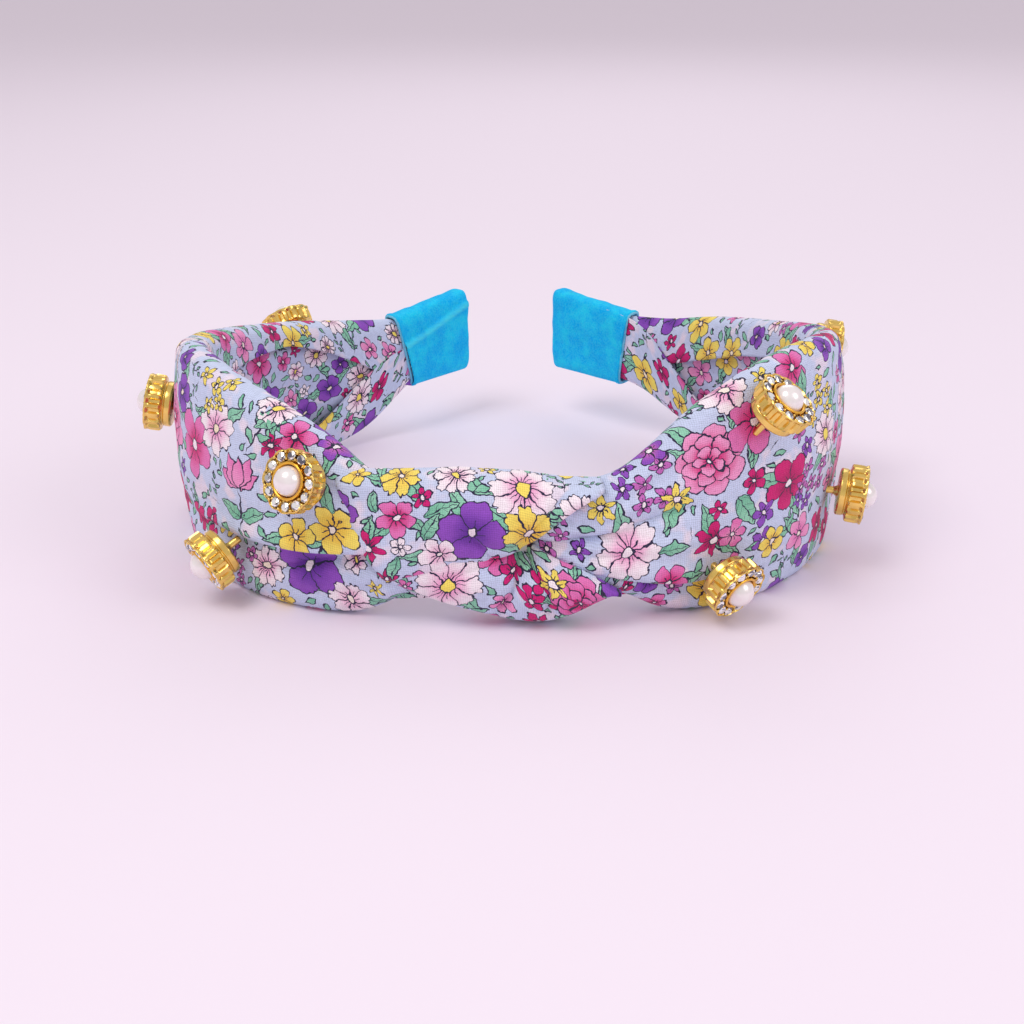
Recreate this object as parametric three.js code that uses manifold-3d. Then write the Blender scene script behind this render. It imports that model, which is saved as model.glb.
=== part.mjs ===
// A knotted fabric headband. A flat sprung hoop lies on its edge, open at the back, inside a
// gathered cotton cover with a knot at the front, velvet sleeves on its two tips, and eight
// jewelled shank buttons sewn to the cover. Millimetres, +Z up. The knot faces -Y, the tips +Y.

import * as THREE from "three";
import { mergeVertices } from "three/addons/utils/BufferGeometryUtils.js";
import Module from "manifold-3d";

const wasm = await Module();
wasm.setup();

// Plan of the right-hand half of the hoop, from the middle of the knot to the velvet sleeve.
const HALF_PLAN = [
  [0, -55], [25, -53], [46, -45.5], [59.6, -33], [67.4, -17], [69.8, 0],
  [67.4, 15], [61.6, 28], [55.8, 38], [48, 47], [39, 54], [29.5, 61.5],
];
// The tip of the hoop, past the velvet sleeve's straight run.
const TIP_POINT = [13.9, 78.3];

// Stations along the hoop, in millimetres of arc from the middle of the knot.
const CROWN_END = 24;
const KNOT_END = 24.4;
const ARM_START = 24.6;
const COVER_START = 26.4;
const SEWING_GAP = 0.5;
const TIP_WALL = 1.2;

// Heights of the cover's edges at stations along each side.
const TOP_EDGE = {
  left: [[24, 31], [40, 37], [60, 43], [75, 45.5], [100, 43], [130, 38], [178, 30.5]],
  right: [[24, 32], [40, 43.5], [60, 49], [75, 49], [100, 44.5], [130, 38.5], [178, 31]],
};
const BOTTOM_EDGE = {
  left: [[24, 0], [145, 0], [168, 3.8], [178, 12]],
  right: [[24, 0], [95, 0], [145, 4], [168, 10], [178, 13]],
};
const VELVET_EDGES = { start: [13.3, 30.5], tip: [12.9, 33.5] };

// Offsets across the band: positive is outwards, away from the head.
const HOOP_OUTER = -0.35;
const HOOP_INNER = -1.65;
const LINING_OUTER = -2.0;
const LINING_INNER = -3.1;
const LIP_OUTER = -3.4;
const LIP_INNER = -4.2;
const COVER_SKIN = 1.2;
const COVER_BULGE = [[26, 2.2], [50, 3], [70, 1.9], [130, 1.9], [178, 1]];
const LIP_DEPTH = { top: 8, bottom: 6 };
const LIP_FOLD = 2.2;
const LIP_ROUND = 1.2;
const LINING_MARGIN = 2.7;

// The plastic strip's middle height and half width.
const HOOP_MIDDLE = [[0, 15.5], [60, 21], [150, 20.5], [178, 21.4], [204, 22.5]];
const HOOP_HALF_WIDTH = [[0, 10], [60, 10], [150, 7], [178, 6.3], [204, 6.3]];

// Velvet sleeve: its outer and inner faces, and the clearance of its pocket round the strip.
const VELVET_OUTER = 1.0;
const VELVET_INNER = -3.0;
const VELVET_ROUND = 0.9;
const POCKET_CLEARANCE = 0.3;

// The two wraps of the knot: the crease between them, and how far each stands out.
const KNOT_TOP = [[-24.4, 31], [-8, 33], [10, 32], [24.4, 31.5]];
const KNOT_CREASE = [[-24.4, 15.5], [-10, 14], [0, 15], [6, 17.5], [12, 23], [17, 27.5], [24.4, 30.5]];
const OVER_BULGE = [[-24.4, 3], [-10, 5.5], [4, 7], [17, 3.5]];
const UNDER_BULGE = [[-24.4, 2.6], [-10, 5], [6, 5.5], [16, 5], [24.4, 3]];
const OVER_WRAP_END = 17;
const CREASE_GAP = 0.4;
const KNOT_FOOT = 1.6;

// Jewelled buttons.
const BUTTON = {
  plateRadius: 4.9, plateHeight: 2, plateChamfer: 0.5, shankRadius: 1.3, shankHeight: 0.3,
  crownRadius: 6.15, crownRoot: 5.7, crownHeight: 2.7, crownHole: 4.1, flutes: 16,
  stoneRing: [4.1, 5.8], stoneHeight: 0.7, stones: 12,
  cupRadius: 3.75, cupFloor: 0.5, cupRise: 0.9, pearlRadius: 2.95, pearlRaised: 0.15, gap: 0.3,
};
// Where each button sits: station along the side, share of the cover's height, and how far its
// face is tipped up and turned towards the back, in degrees.
const BUTTON_PLACES = [
  { name: "front_left", side: "left", station: 37.3, share: 0.785, up: 10, turn: 14 },
  { name: "low_left", side: "left", station: 55.5, share: 0.305, up: -20, turn: 16 },
  { name: "side_left", side: "left", station: 97.3, share: 0.66, up: 5, turn: 3 },
  { name: "back_left", side: "left", station: 150.7, share: 0.75, up: 46, turn: 8 },
  { name: "low_right", side: "right", station: 39.4, share: 0.245, up: -16, turn: 18 },
  { name: "high_right", side: "right", station: 47.3, share: 0.805, up: 41, turn: 27 },
  { name: "side_right", side: "right", station: 74.6, share: 0.345, up: -3, turn: 15 },
  { name: "back_right", side: "right", station: 121.6, share: 0.878, up: -17, turn: -25 },
];

const STEPS = { crown: 12, cover: 20, arm: 24, knot: 14, arch: 7 };

const COLOUR = {
  cotton: new THREE.Color(0.78, 0.8, 0.91),
  lining: new THREE.Color(0.72, 0.74, 0.86),
  velvet: new THREE.Color(0.05, 0.6, 0.84),
  plastic: new THREE.Color(0.86, 0.85, 0.83),
  gold: new THREE.Color(0.83, 0.62, 0.2),
  pearl: new THREE.Color(0.95, 0.9, 0.87),
  crystal: new THREE.Color(0.93, 0.95, 0.98),
};
const MATERIAL = {
  cotton: new THREE.MeshStandardMaterial({ color: COLOUR.cotton, roughness: 0.85, metalness: 0 }),
  lining: new THREE.MeshStandardMaterial({ color: COLOUR.lining, roughness: 0.85, metalness: 0 }),
  velvet: new THREE.MeshStandardMaterial({ color: COLOUR.velvet, roughness: 0.95, metalness: 0 }),
  plastic: new THREE.MeshStandardMaterial({ color: COLOUR.plastic, roughness: 0.45, metalness: 0 }),
  gold: new THREE.MeshStandardMaterial({ color: COLOUR.gold, roughness: 0.22, metalness: 1 }),
  pearl: new THREE.MeshStandardMaterial({ color: COLOUR.pearl, roughness: 0.25, metalness: 0 }),
  crystal: new THREE.MeshStandardMaterial({ color: COLOUR.crystal, roughness: 0.05, metalness: 0 }),
};

const headband = new THREE.Group();

// ---- Measuring along the hoop ----------------------------------------------------------------

const planCurve = new THREE.CatmullRomCurve3(
  [[-HALF_PLAN[1][0], HALF_PLAN[1][1]], ...HALF_PLAN, TIP_POINT]
    .map(([x, y]) => new THREE.Vector3(x, y, 0)),
  false,
  "centripetal",
);
const PLAN_SAMPLES = 1200;
const planPoints = planCurve.getPoints(PLAN_SAMPLES);
const planArcs = [0];
for (let i = 1; i <= PLAN_SAMPLES; i += 1) {
  planArcs.push(planArcs[i - 1] + planPoints[i].distanceTo(planPoints[i - 1]));
}
const arcAtMiddle = arcNearest(new THREE.Vector3(HALF_PLAN[0][0], HALF_PLAN[0][1], 0));
const lastSpline = HALF_PLAN[HALF_PLAN.length - 1];
const sleevePoint = new THREE.Vector3(lastSpline[0], lastSpline[1], 0);
const tipPoint = new THREE.Vector3(TIP_POINT[0], TIP_POINT[1], 0);
const SLEEVE_START = arcNearest(sleevePoint) - arcAtMiddle;
const TIP_END = SLEEVE_START + sleevePoint.distanceTo(tipPoint);

function arcNearest(point) {
  let best = 0;
  planPoints.forEach((candidate, i) => {
    if (candidate.distanceTo(point) < planPoints[best].distanceTo(point)) best = i;
  });
  return planArcs[best];
}

// The point and outward direction at a station on the right-hand half.
function halfFrame(station) {
  if (station >= SLEEVE_START) {
    const along = new THREE.Vector3().subVectors(tipPoint, sleevePoint).normalize();
    const point = sleevePoint.clone().addScaledVector(along, station - SLEEVE_START);
    return { point, outward: new THREE.Vector3(along.y, -along.x, 0) };
  }
  const arc = station + arcAtMiddle;
  let i = 1;
  while (i < PLAN_SAMPLES && planArcs[i] < arc) i += 1;
  const share = (arc - planArcs[i - 1]) / (planArcs[i] - planArcs[i - 1]);
  const along = new THREE.Vector3().subVectors(planPoints[i], planPoints[i - 1]).normalize();
  const point = planPoints[i - 1].clone().lerp(planPoints[i], share);
  return { point, outward: new THREE.Vector3(along.y, -along.x, 0) };
}

// The frame at a signed station: negative is the left-hand side.
function frameAt(station) {
  const frame = halfFrame(Math.abs(station));
  if (station < 0) {
    frame.point.x *= -1;
    frame.outward.x *= -1;
  }
  return frame;
}

// A value read off a short list of [station, value] pairs, straight between them.
function readProfile(pairs, station) {
  if (station <= pairs[0][0]) return pairs[0][1];
  for (let i = 1; i < pairs.length; i += 1) {
    if (station <= pairs[i][0]) {
      const share = (station - pairs[i - 1][0]) / (pairs[i][0] - pairs[i - 1][0]);
      return THREE.MathUtils.lerp(pairs[i - 1][1], pairs[i][1], share);
    }
  }
  return pairs[pairs.length - 1][1];
}

function spaced(from, to, steps) {
  return Array.from({ length: steps + 1 }, (_, i) => THREE.MathUtils.lerp(from, to, i / steps));
}

// ---- Solids ----------------------------------------------------------------------------------

// A closed solid through one [outward offset, height] outline per station.
function loft(stations, outlineAt) {
  const positions = [];
  const outlines = stations.map((station) => outlineAt(station));
  stations.forEach((station, k) => {
    const { point, outward } = frameAt(station);
    outlines[k].forEach(([offset, height]) => {
      positions.push(point.x + outward.x * offset, point.y + outward.y * offset, height);
    });
  });
  const count = outlines[0].length;
  const index = [];
  for (let k = 0; k < stations.length - 1; k += 1) {
    for (let i = 0; i < count; i += 1) {
      const a = k * count + i;
      const b = k * count + ((i + 1) % count);
      index.push(a, b, b + count, a, b + count, a + count);
    }
  }
  index.push(...capFaces(outlines[0], 0, true));
  index.push(...capFaces(outlines[stations.length - 1], (stations.length - 1) * count, false));
  const geometry = new THREE.BufferGeometry();
  geometry.setAttribute("position", new THREE.Float32BufferAttribute(positions, 3));
  geometry.setIndex(index);
  return facingOut(geometry);
}

function capFaces(outline, offset, reversed) {
  const contour = outline.map(([x, y]) => new THREE.Vector2(x, y));
  const clockwise = THREE.ShapeUtils.isClockWise(contour);
  const faces = THREE.ShapeUtils.triangulateShape(clockwise ? contour.reverse() : contour, []);
  const last = outline.length - 1;
  const place = (i) => offset + (clockwise ? last - i : i);
  const turned = reversed !== clockwise;
  return faces.flatMap(([a, b, c]) => (
    turned ? [place(a), place(c), place(b)] : [place(a), place(b), place(c)]
  ));
}

function signedVolume(geometry) {
  const position = geometry.getAttribute("position");
  const index = geometry.getIndex();
  const corner = [new THREE.Vector3(), new THREE.Vector3(), new THREE.Vector3()];
  let volume = 0;
  for (let i = 0; i < index.count; i += 3) {
    corner.forEach((vertex, k) => vertex.fromBufferAttribute(position, index.getX(i + k)));
    volume += corner[0].dot(corner[1].clone().cross(corner[2])) / 6;
  }
  return volume;
}

function facingOut(geometry) {
  if (signedVolume(geometry) < 0) {
    const index = geometry.getIndex();
    for (let i = 0; i < index.count; i += 3) {
      const second = index.getX(i + 1);
      index.setX(i + 1, index.getX(i + 2));
      index.setX(i + 2, second);
    }
  }
  return geometry;
}

function toSolid(geometry) {
  const bare = geometry.clone();
  bare.deleteAttribute("normal");
  bare.deleteAttribute("uv");
  const merged = mergeVertices(bare, 1e-4);
  return new wasm.Manifold(new wasm.Mesh({
    numProp: 3,
    vertProperties: new Float32Array(merged.getAttribute("position").array),
    triVerts: new Uint32Array(merged.getIndex().array),
  }));
}

function fromSolid(solid) {
  const mesh = solid.getMesh();
  const geometry = new THREE.BufferGeometry();
  geometry.setAttribute("position", new THREE.Float32BufferAttribute(mesh.vertProperties, 3));
  geometry.setIndex(Array.from(mesh.triVerts));
  return geometry;
}

function addPiece(parent, name, geometry, material) {
  const mesh = new THREE.Mesh(geometry, material);
  mesh.name = name;
  parent.add(mesh);
}

// ---- Hoop, lining and cover ------------------------------------------------------------------

function stripOutline(station, grow) {
  const middle = readProfile(HOOP_MIDDLE, Math.abs(station));
  const half = readProfile(HOOP_HALF_WIDTH, Math.abs(station)) + grow;
  return [
    [HOOP_OUTER + grow, middle - half], [HOOP_OUTER + grow, middle + half],
    [HOOP_INNER - grow, middle + half], [HOOP_INNER - grow, middle - half],
  ];
}

function liningOutline(low, high) {
  return [[LINING_OUTER, low], [LINING_OUTER, high], [LINING_INNER, high], [LINING_INNER, low]];
}

function coverEdges(side, station) {
  return {
    low: readProfile(BOTTOM_EDGE[side], station),
    high: readProfile(TOP_EDGE[side], station),
  };
}

// Outer face of the cover at a share of its height, from 0 at the bottom to 1 at the top.
function coverOffset(station, share) {
  return COVER_SKIN + readProfile(COVER_BULGE, station) * Math.sin(Math.PI * share);
}

// The cover's C-shaped outline: a bulged face with a lip folded in at each edge.
function coverOutline(side, station) {
  const { low, high } = coverEdges(side, station);
  const face = spaced(0, 1, STEPS.arch).map((share) => (
    [coverOffset(station, share), THREE.MathUtils.lerp(low, high, share)]
  ));
  const topLip = Math.min(LIP_DEPTH.top, (high - low) * 0.3);
  const bottomLip = Math.min(LIP_DEPTH.bottom, (high - low) * 0.3);
  return [
    ...face,
    [-1, high + 0.3], [LIP_OUTER, high - LIP_ROUND / 2], [LIP_INNER, high - LIP_FOLD],
    [LIP_INNER, high - topLip], [LIP_OUTER, high - topLip], [LIP_OUTER, high - LIP_FOLD],
    [0, high - LIP_FOLD], [0, low + LIP_FOLD],
    [LIP_OUTER, low + LIP_FOLD], [LIP_OUTER, low + bottomLip], [LIP_INNER, low + bottomLip],
    [LIP_INNER, low + LIP_ROUND], [LIP_OUTER, low],
  ];
}

function makeSide(side) {
  const sign = side === "left" ? -1 : 1;
  const coverEnd = SLEEVE_START - SEWING_GAP;
  const coverStations = spaced(COVER_START, coverEnd, STEPS.cover).map((s) => s * sign);
  const armStations = spaced(ARM_START, TIP_END - TIP_WALL, STEPS.arm).map((s) => s * sign);
  const coverShape = loft(coverStations, (s) => coverOutline(side, Math.abs(s)));
  const liningShape = loft(coverStations, (s) => {
    const { low, high } = coverEdges(side, Math.abs(s));
    return liningOutline(low + LINING_MARGIN, high - LINING_MARGIN);
  });
  addPiece(headband, `hoop_${side}_arm`, loft(armStations, (s) => stripOutline(s, 0)), MATERIAL.plastic);
  addPiece(headband, `lining_${side}`, liningShape, MATERIAL.lining);
  addPiece(headband, `cover_${side}`, coverShape, MATERIAL.cotton);
  addPiece(headband, `velvet_sleeve_${side}`, velvetSleeve(sign), MATERIAL.velvet);
}

// A rounded sleeve closed at the tip, with a pocket for the end of the plastic strip.
function velvetSleeve(sign) {
  const outside = loft([SLEEVE_START, TIP_END].map((s) => s * sign), (station) => {
    const atTip = Math.abs(station) > SLEEVE_START + 1;
    const [low, high] = atTip ? VELVET_EDGES.tip : VELVET_EDGES.start;
    return [
      [VELVET_OUTER - VELVET_ROUND, low], [VELVET_OUTER, low + VELVET_ROUND],
      [VELVET_OUTER, high - VELVET_ROUND], [VELVET_OUTER - VELVET_ROUND, high],
      [VELVET_INNER + VELVET_ROUND, high], [VELVET_INNER, high - VELVET_ROUND],
      [VELVET_INNER, low + VELVET_ROUND], [VELVET_INNER + VELVET_ROUND, low],
    ];
  });
  const pocketEnds = [SLEEVE_START - 1, SLEEVE_START + 0.01, TIP_END - TIP_WALL + POCKET_CLEARANCE];
  const pocket = loft(pocketEnds.map((s) => s * sign), (s) => stripOutline(s, POCKET_CLEARANCE));
  return fromSolid(toSolid(outside).subtract(toSolid(pocket)));
}

// ---- Knot ------------------------------------------------------------------------------------

// A D-shaped outline: flat against the strip, rounded outwards.
function wrapOutline(low, high, bulge) {
  const face = spaced(0, 1, STEPS.arch).map((share) => {
    const out = COVER_SKIN + bulge * Math.sin(Math.PI * share) ** 0.7;
    return [out, THREE.MathUtils.lerp(low, high, share)];
  });
  return [[0, low], ...face, [0, high]];
}

function makeKnot() {
  const overStations = spaced(-KNOT_END, OVER_WRAP_END, STEPS.knot);
  const over = loft(overStations, (station) => wrapOutline(
    readProfile(KNOT_CREASE, station) + CREASE_GAP,
    readProfile(KNOT_TOP, station),
    readProfile(OVER_BULGE, station),
  ));
  const underStations = spaced(-KNOT_END, KNOT_END, STEPS.knot);
  const under = loft(underStations, (station) => {
    const outline = wrapOutline(
      0,
      readProfile(KNOT_CREASE, station) - CREASE_GAP,
      readProfile(UNDER_BULGE, station),
    );
    outline.splice(1, 1, [KNOT_FOOT, 0]);
    return outline;
  });
  const crownStations = spaced(-CROWN_END, CROWN_END, STEPS.crown);
  const crownLining = loft(crownStations, () => liningOutline(LINING_MARGIN, KNOT_TOP[0][1] - LINING_MARGIN));
  addPiece(headband, "hoop_crown", loft(crownStations, (s) => stripOutline(s, 0)), MATERIAL.plastic);
  addPiece(headband, "lining_crown", crownLining, MATERIAL.lining);
  addPiece(headband, "knot_over_wrap", over, MATERIAL.cotton);
  addPiece(headband, "knot_under_wrap", under, MATERIAL.cotton);
}

// ---- Jewelled buttons ------------------------------------------------------------------------

function turned(profile, segments) {
  const points = profile.map(([radius, height]) => new THREE.Vector2(radius, height));
  return new THREE.LatheGeometry(points, segments).rotateX(Math.PI / 2);
}

function boxRing(inner, outer, low, high, segments) {
  return turned([[inner, low], [outer, low], [outer, high], [inner, high], [inner, low]], segments);
}

function flutedCrown() {
  const outline = new THREE.Shape();
  for (let i = 0; i < BUTTON.flutes * 2; i += 1) {
    const angle = (i * Math.PI) / BUTTON.flutes;
    const radius = i % 2 ? BUTTON.crownRoot : BUTTON.crownRadius;
    const corner = [radius * Math.cos(angle), radius * Math.sin(angle)];
    if (i) outline.lineTo(...corner);
    else outline.moveTo(...corner);
  }
  outline.closePath();
  const hole = new THREE.Path();
  hole.absarc(0, 0, BUTTON.crownHole, 0, Math.PI * 2, true);
  outline.holes.push(hole);
  return new THREE.ExtrudeGeometry(outline, {
    depth: BUTTON.crownHeight, bevelEnabled: false, curveSegments: 5,
  });
}

// A pearl with a flat back, and the cup whose bowl holds it with a small gap.
function pearlAndCup(cupLow, crownHigh) {
  const centre = crownHigh + BUTTON.pearlRaised;
  const back = cupLow + BUTTON.cupFloor + BUTTON.gap;
  const lowest = Math.asin((back - centre) / BUTTON.pearlRadius);
  const dome = spaced(lowest, Math.PI / 2, 6).map((angle) => (
    [BUTTON.pearlRadius * Math.cos(angle), centre + BUTTON.pearlRadius * Math.sin(angle)]
  ));
  dome[dome.length - 1][0] = 0;
  const pearl = turned([[0, back], ...dome], 14);
  const cupHigh = crownHigh + BUTTON.cupRise;
  const bowlRadius = BUTTON.pearlRadius + BUTTON.gap;
  const bowlTop = bowlRadius * Math.cos(Math.asin((cupHigh - centre) / bowlRadius));
  const bowlFoot = BUTTON.pearlRadius * Math.cos(lowest) + BUTTON.gap;
  const cup = turned([
    [0, cupLow], [BUTTON.cupRadius, cupLow], [BUTTON.cupRadius, cupHigh], [bowlTop, cupHigh],
    [bowlRadius, centre], [bowlFoot, back - BUTTON.gap], [0, back - BUTTON.gap],
  ], 16);
  return { pearl, cup };
}

// One button with its face along +Z. Its shank reaches down from the plate to footHeight.
function makeButton(name, footHeight) {
  const button = new THREE.Group();
  const plateLow = BUTTON.shankHeight;
  const plateHigh = plateLow + BUTTON.plateHeight;
  const crownLow = plateHigh + BUTTON.gap;
  const crownHigh = crownLow + BUTTON.crownHeight;
  const stoneLow = crownHigh + BUTTON.gap;
  const plate = turned([
    [0, footHeight], [BUTTON.shankRadius, footHeight], [BUTTON.shankRadius, plateLow],
    [BUTTON.plateRadius - BUTTON.plateChamfer, plateLow],
    [BUTTON.plateRadius, plateLow + BUTTON.plateChamfer],
    [BUTTON.plateRadius, plateHigh], [0, plateHigh],
  ], 12);
  const { pearl, cup } = pearlAndCup(crownLow, crownHigh);
  const stones = boxRing(...BUTTON.stoneRing, stoneLow, stoneLow + BUTTON.stoneHeight, BUTTON.stones);
  const crown = flutedCrown();
  crown.translate(0, 0, crownLow);
  addPiece(button, `button_${name}_plate`, plate, MATERIAL.gold);
  addPiece(button, `button_${name}_crown`, crown, MATERIAL.gold);
  addPiece(button, `button_${name}_cup`, cup, MATERIAL.gold);
  addPiece(button, `button_${name}_stones`, stones, MATERIAL.crystal);
  addPiece(button, `button_${name}_pearl`, pearl, MATERIAL.pearl);
  return button;
}

// Seats a button on the cover, its axis along the face's normal and then tipped and turned. It
// stands off by enough for its plate's edge to clear the cover.
function seatButton({ name, side, station, share, up, turn }) {
  const sign = side === "left" ? -1 : 1;
  const { point, outward } = frameAt(station * sign);
  const { low, high } = coverEdges(side, station);
  const height = THREE.MathUtils.lerp(low, high, share);
  const slope = (readProfile(COVER_BULGE, station) * Math.PI * Math.cos(Math.PI * share)) / (high - low);
  const upAngle = Math.atan(-slope) + THREE.MathUtils.degToRad(up);
  const turnAngle = THREE.MathUtils.degToRad(turn) * sign;
  const axis = outward.clone().applyAxisAngle(new THREE.Vector3(0, 0, 1), turnAngle);
  axis.multiplyScalar(Math.cos(upAngle));
  axis.z = Math.sin(upAngle);
  const lean = Math.hypot(THREE.MathUtils.degToRad(up), turnAngle);
  const standOff = BUTTON.gap + BUTTON.plateRadius * Math.max(0, Math.sin(lean) - 0.1) * 1.15 + 0.3;
  const button = makeButton(name, BUTTON.shankRadius * Math.sin(lean) + BUTTON.gap - standOff);
  button.position.copy(point).addScaledVector(outward, coverOffset(station, share));
  button.position.z = height;
  button.position.addScaledVector(axis, standOff);
  button.quaternion.setFromUnitVectors(new THREE.Vector3(0, 0, 1), axis);
  headband.add(button);
}

// ---- Assembly --------------------------------------------------------------------------------

makeKnot();
["left", "right"].forEach((side) => makeSide(side));
BUTTON_PLACES.forEach((place) => seatButton(place));

// The origin is the middle of the bottom of the whole headband's box.
headband.updateMatrixWorld(true);
const extent = new THREE.Box3().setFromObject(headband, true);
const middle = extent.getCenter(new THREE.Vector3());
headband.position.set(-middle.x, -middle.y, -extent.min.z);
headband.updateMatrixWorld(true);

export default headband;
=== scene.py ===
"""Knotted headband: printed cotton covers and knot, velvet tip sleeves and jewelled buttons.

Lengths are in millimetres in the headband's plan, with the knot at -Y and the tips at +Y, and
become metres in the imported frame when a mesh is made. A "station" is the distance along the hoop
from the middle of the knot, negative on the left. A point of the cloth is a station, an offset
outwards from the hoop's plan line, and a height.
"""

import math

import bmesh
import bpy
import numpy as np
from mathutils import Matrix, Vector, noise


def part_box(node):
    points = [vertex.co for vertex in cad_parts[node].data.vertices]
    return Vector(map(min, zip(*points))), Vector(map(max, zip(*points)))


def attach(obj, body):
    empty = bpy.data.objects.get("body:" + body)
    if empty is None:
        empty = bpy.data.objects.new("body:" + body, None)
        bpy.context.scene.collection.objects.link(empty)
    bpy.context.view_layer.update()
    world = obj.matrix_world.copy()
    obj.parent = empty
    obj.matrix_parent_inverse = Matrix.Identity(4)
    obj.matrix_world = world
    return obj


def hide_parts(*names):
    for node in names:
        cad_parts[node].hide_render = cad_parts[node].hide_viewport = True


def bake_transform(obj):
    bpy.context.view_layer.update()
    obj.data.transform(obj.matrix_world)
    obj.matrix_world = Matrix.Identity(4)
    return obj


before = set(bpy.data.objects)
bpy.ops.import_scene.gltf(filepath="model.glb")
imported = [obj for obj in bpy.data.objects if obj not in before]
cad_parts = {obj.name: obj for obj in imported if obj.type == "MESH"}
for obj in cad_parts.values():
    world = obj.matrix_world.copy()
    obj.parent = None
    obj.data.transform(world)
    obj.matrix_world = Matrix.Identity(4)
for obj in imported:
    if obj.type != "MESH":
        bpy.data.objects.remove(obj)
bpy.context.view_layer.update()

MM = 0.001
SIDES = {"left": -1, "right": 1}

# ---- The hoop's plan line, as in the CAD ------------------------------------------------------

HALF_PLAN = [
    (0, -55), (25, -53), (46, -45.5), (59.6, -33), (67.4, -17), (69.8, 0),
    (67.4, 15), (61.6, 28), (55.8, 38), (48, 47), (39, 54), (29.5, 61.5),
]
TIP_POINT = (13.9, 78.3)
HOOP_OUTER = -0.35


def plan_shift():
    """From the plan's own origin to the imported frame's, in millimetres."""
    low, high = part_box("hoop_crown")
    return np.array([(low.x + high.x) / 2 / MM, low.y / MM - (HALF_PLAN[0][1] - HOOP_OUTER)])


def plan_table(steps=60):
    """Arc length, points and outward directions along the right-hand half."""
    knots = np.array([(-HALF_PLAN[1][0], HALF_PLAN[1][1]), *HALF_PLAN, TIP_POINT], float)
    points = []
    for a, b, c, d in zip(knots[:-3], knots[1:-2], knots[2:-1], knots[3:]):
        gap = [np.linalg.norm(q - p) ** 0.5 for p, q in ((a, b), (b, c), (c, d))]
        start = ((b - a) / gap[0] - (c - a) / (gap[0] + gap[1]) + (c - b) / gap[1]) * gap[1]
        end = ((c - b) / gap[1] - (d - b) / (gap[1] + gap[2]) + (d - c) / gap[2]) * gap[1]
        t = np.linspace(0, 1, steps, endpoint=False)[:, None]
        points.append(
            (2 * t**3 - 3 * t**2 + 1) * b + (t**3 - 2 * t**2 + t) * start
            + (3 * t**2 - 2 * t**3) * c + (t**3 - t**2) * end
        )
    sleeve = np.array(HALF_PLAN[-1], float)
    tip = np.array(TIP_POINT, float)
    line = sleeve + np.linspace(0, 1.2, steps)[:, None] * (tip - sleeve)
    points = np.vstack([*points, line])
    arc = np.concatenate([[0], np.cumsum(np.linalg.norm(np.diff(points, axis=0), axis=1))])
    along = np.gradient(points, axis=0)
    along = blurred(along / np.linalg.norm(along, axis=1)[:, None], 8)
    along /= np.linalg.norm(along, axis=1)[:, None]
    return arc, points, np.stack([along[:, 1], -along[:, 0]], axis=1)


def blurred(values, width):
    """Rows of values smoothed by a bell of that many rows, with the ends kept."""
    reach = int(width * 3)
    bell = np.exp(-0.5 * (np.arange(-reach, reach + 1) / width) ** 2)
    bell /= bell.sum()
    first = 2 * values[:1] - values[1 : reach + 1][::-1]
    last = 2 * values[-1:] - values[-reach - 1 : -1][::-1]
    padded = np.concatenate([first, values, last])
    flat = padded.reshape(len(padded), -1)
    smooth = np.stack([np.convolve(column, bell, "valid") for column in flat.T], axis=1)
    return smooth.reshape(values.shape)


ARC, PLAN_POINTS, PLAN_OUT = plan_table()
SHIFT = plan_shift()
SLEEVE_START = float(ARC[np.argmin(np.linalg.norm(PLAN_POINTS - HALF_PLAN[-1], axis=1))])
TIP_END = SLEEVE_START + math.dist(HALF_PLAN[-1], TIP_POINT)


def place(station, offset, height):
    """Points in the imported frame, in metres."""
    station, offset, height = np.broadcast_arrays(station, offset, height)
    side = np.where(station < 0, -1.0, 1.0)
    arc = np.abs(station)
    x, y = (np.interp(arc, ARC, PLAN_POINTS[:, k]) for k in (0, 1))
    out_x, out_y = (np.interp(arc, ARC, PLAN_OUT[:, k]) for k in (0, 1))
    return np.stack([
        side * (x + offset * out_x) + SHIFT[0],
        y + offset * out_y + SHIFT[1],
        height,
    ], axis=-1) * MM


def profile(*pairs, soft=3.0):
    """A smooth function through roughly these (station, value) pairs."""
    at = np.arange(pairs[0][0] - 12, pairs[-1][0] + 12, 0.5)
    values = np.interp(at, *zip(*pairs))
    smooth = blurred(values[:, None], soft / 0.5)[:, 0]
    return lambda station: np.interp(station, at, smooth)


# ---- Camera, light and floor ------------------------------------------------------------------

CAMERA_PLACE = (0.46, -338.97, 135.26)
CAMERA_DOWN = 21.55
CAMERA_ROLL = -0.226
LENS = 56.25
FLOOR_REACH = 3.0


def srgb(red, green, blue, alpha=1.0):
    """A colour given as 0 to 255 sRGB, in linear light."""
    parts = (c / 255 for c in (red, green, blue))
    return tuple(c / 12.92 if c <= 0.04045 else ((c + 0.055) / 1.055) ** 2.4 for c in parts) + (alpha,)


def new_object(name, data):
    made = bpy.data.objects.new(name, data)
    bpy.context.scene.collection.objects.link(made)
    return made


def make_camera():
    data = bpy.data.cameras.new("camera")
    data.lens = LENS
    data.sensor_width = 36
    data.clip_start = 0.01
    camera = new_object("camera", data)
    x, y, z = CAMERA_PLACE
    turn = Matrix.Rotation(math.radians(90 - CAMERA_DOWN), 4, "X")
    roll = Matrix.Rotation(math.radians(CAMERA_ROLL), 4, "Z")
    spot = Vector(((x + SHIFT[0]) * MM, (y + SHIFT[1]) * MM, z * MM))
    camera.matrix_world = Matrix.Translation(spot) @ turn @ roll
    bpy.context.scene.camera = camera


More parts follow.
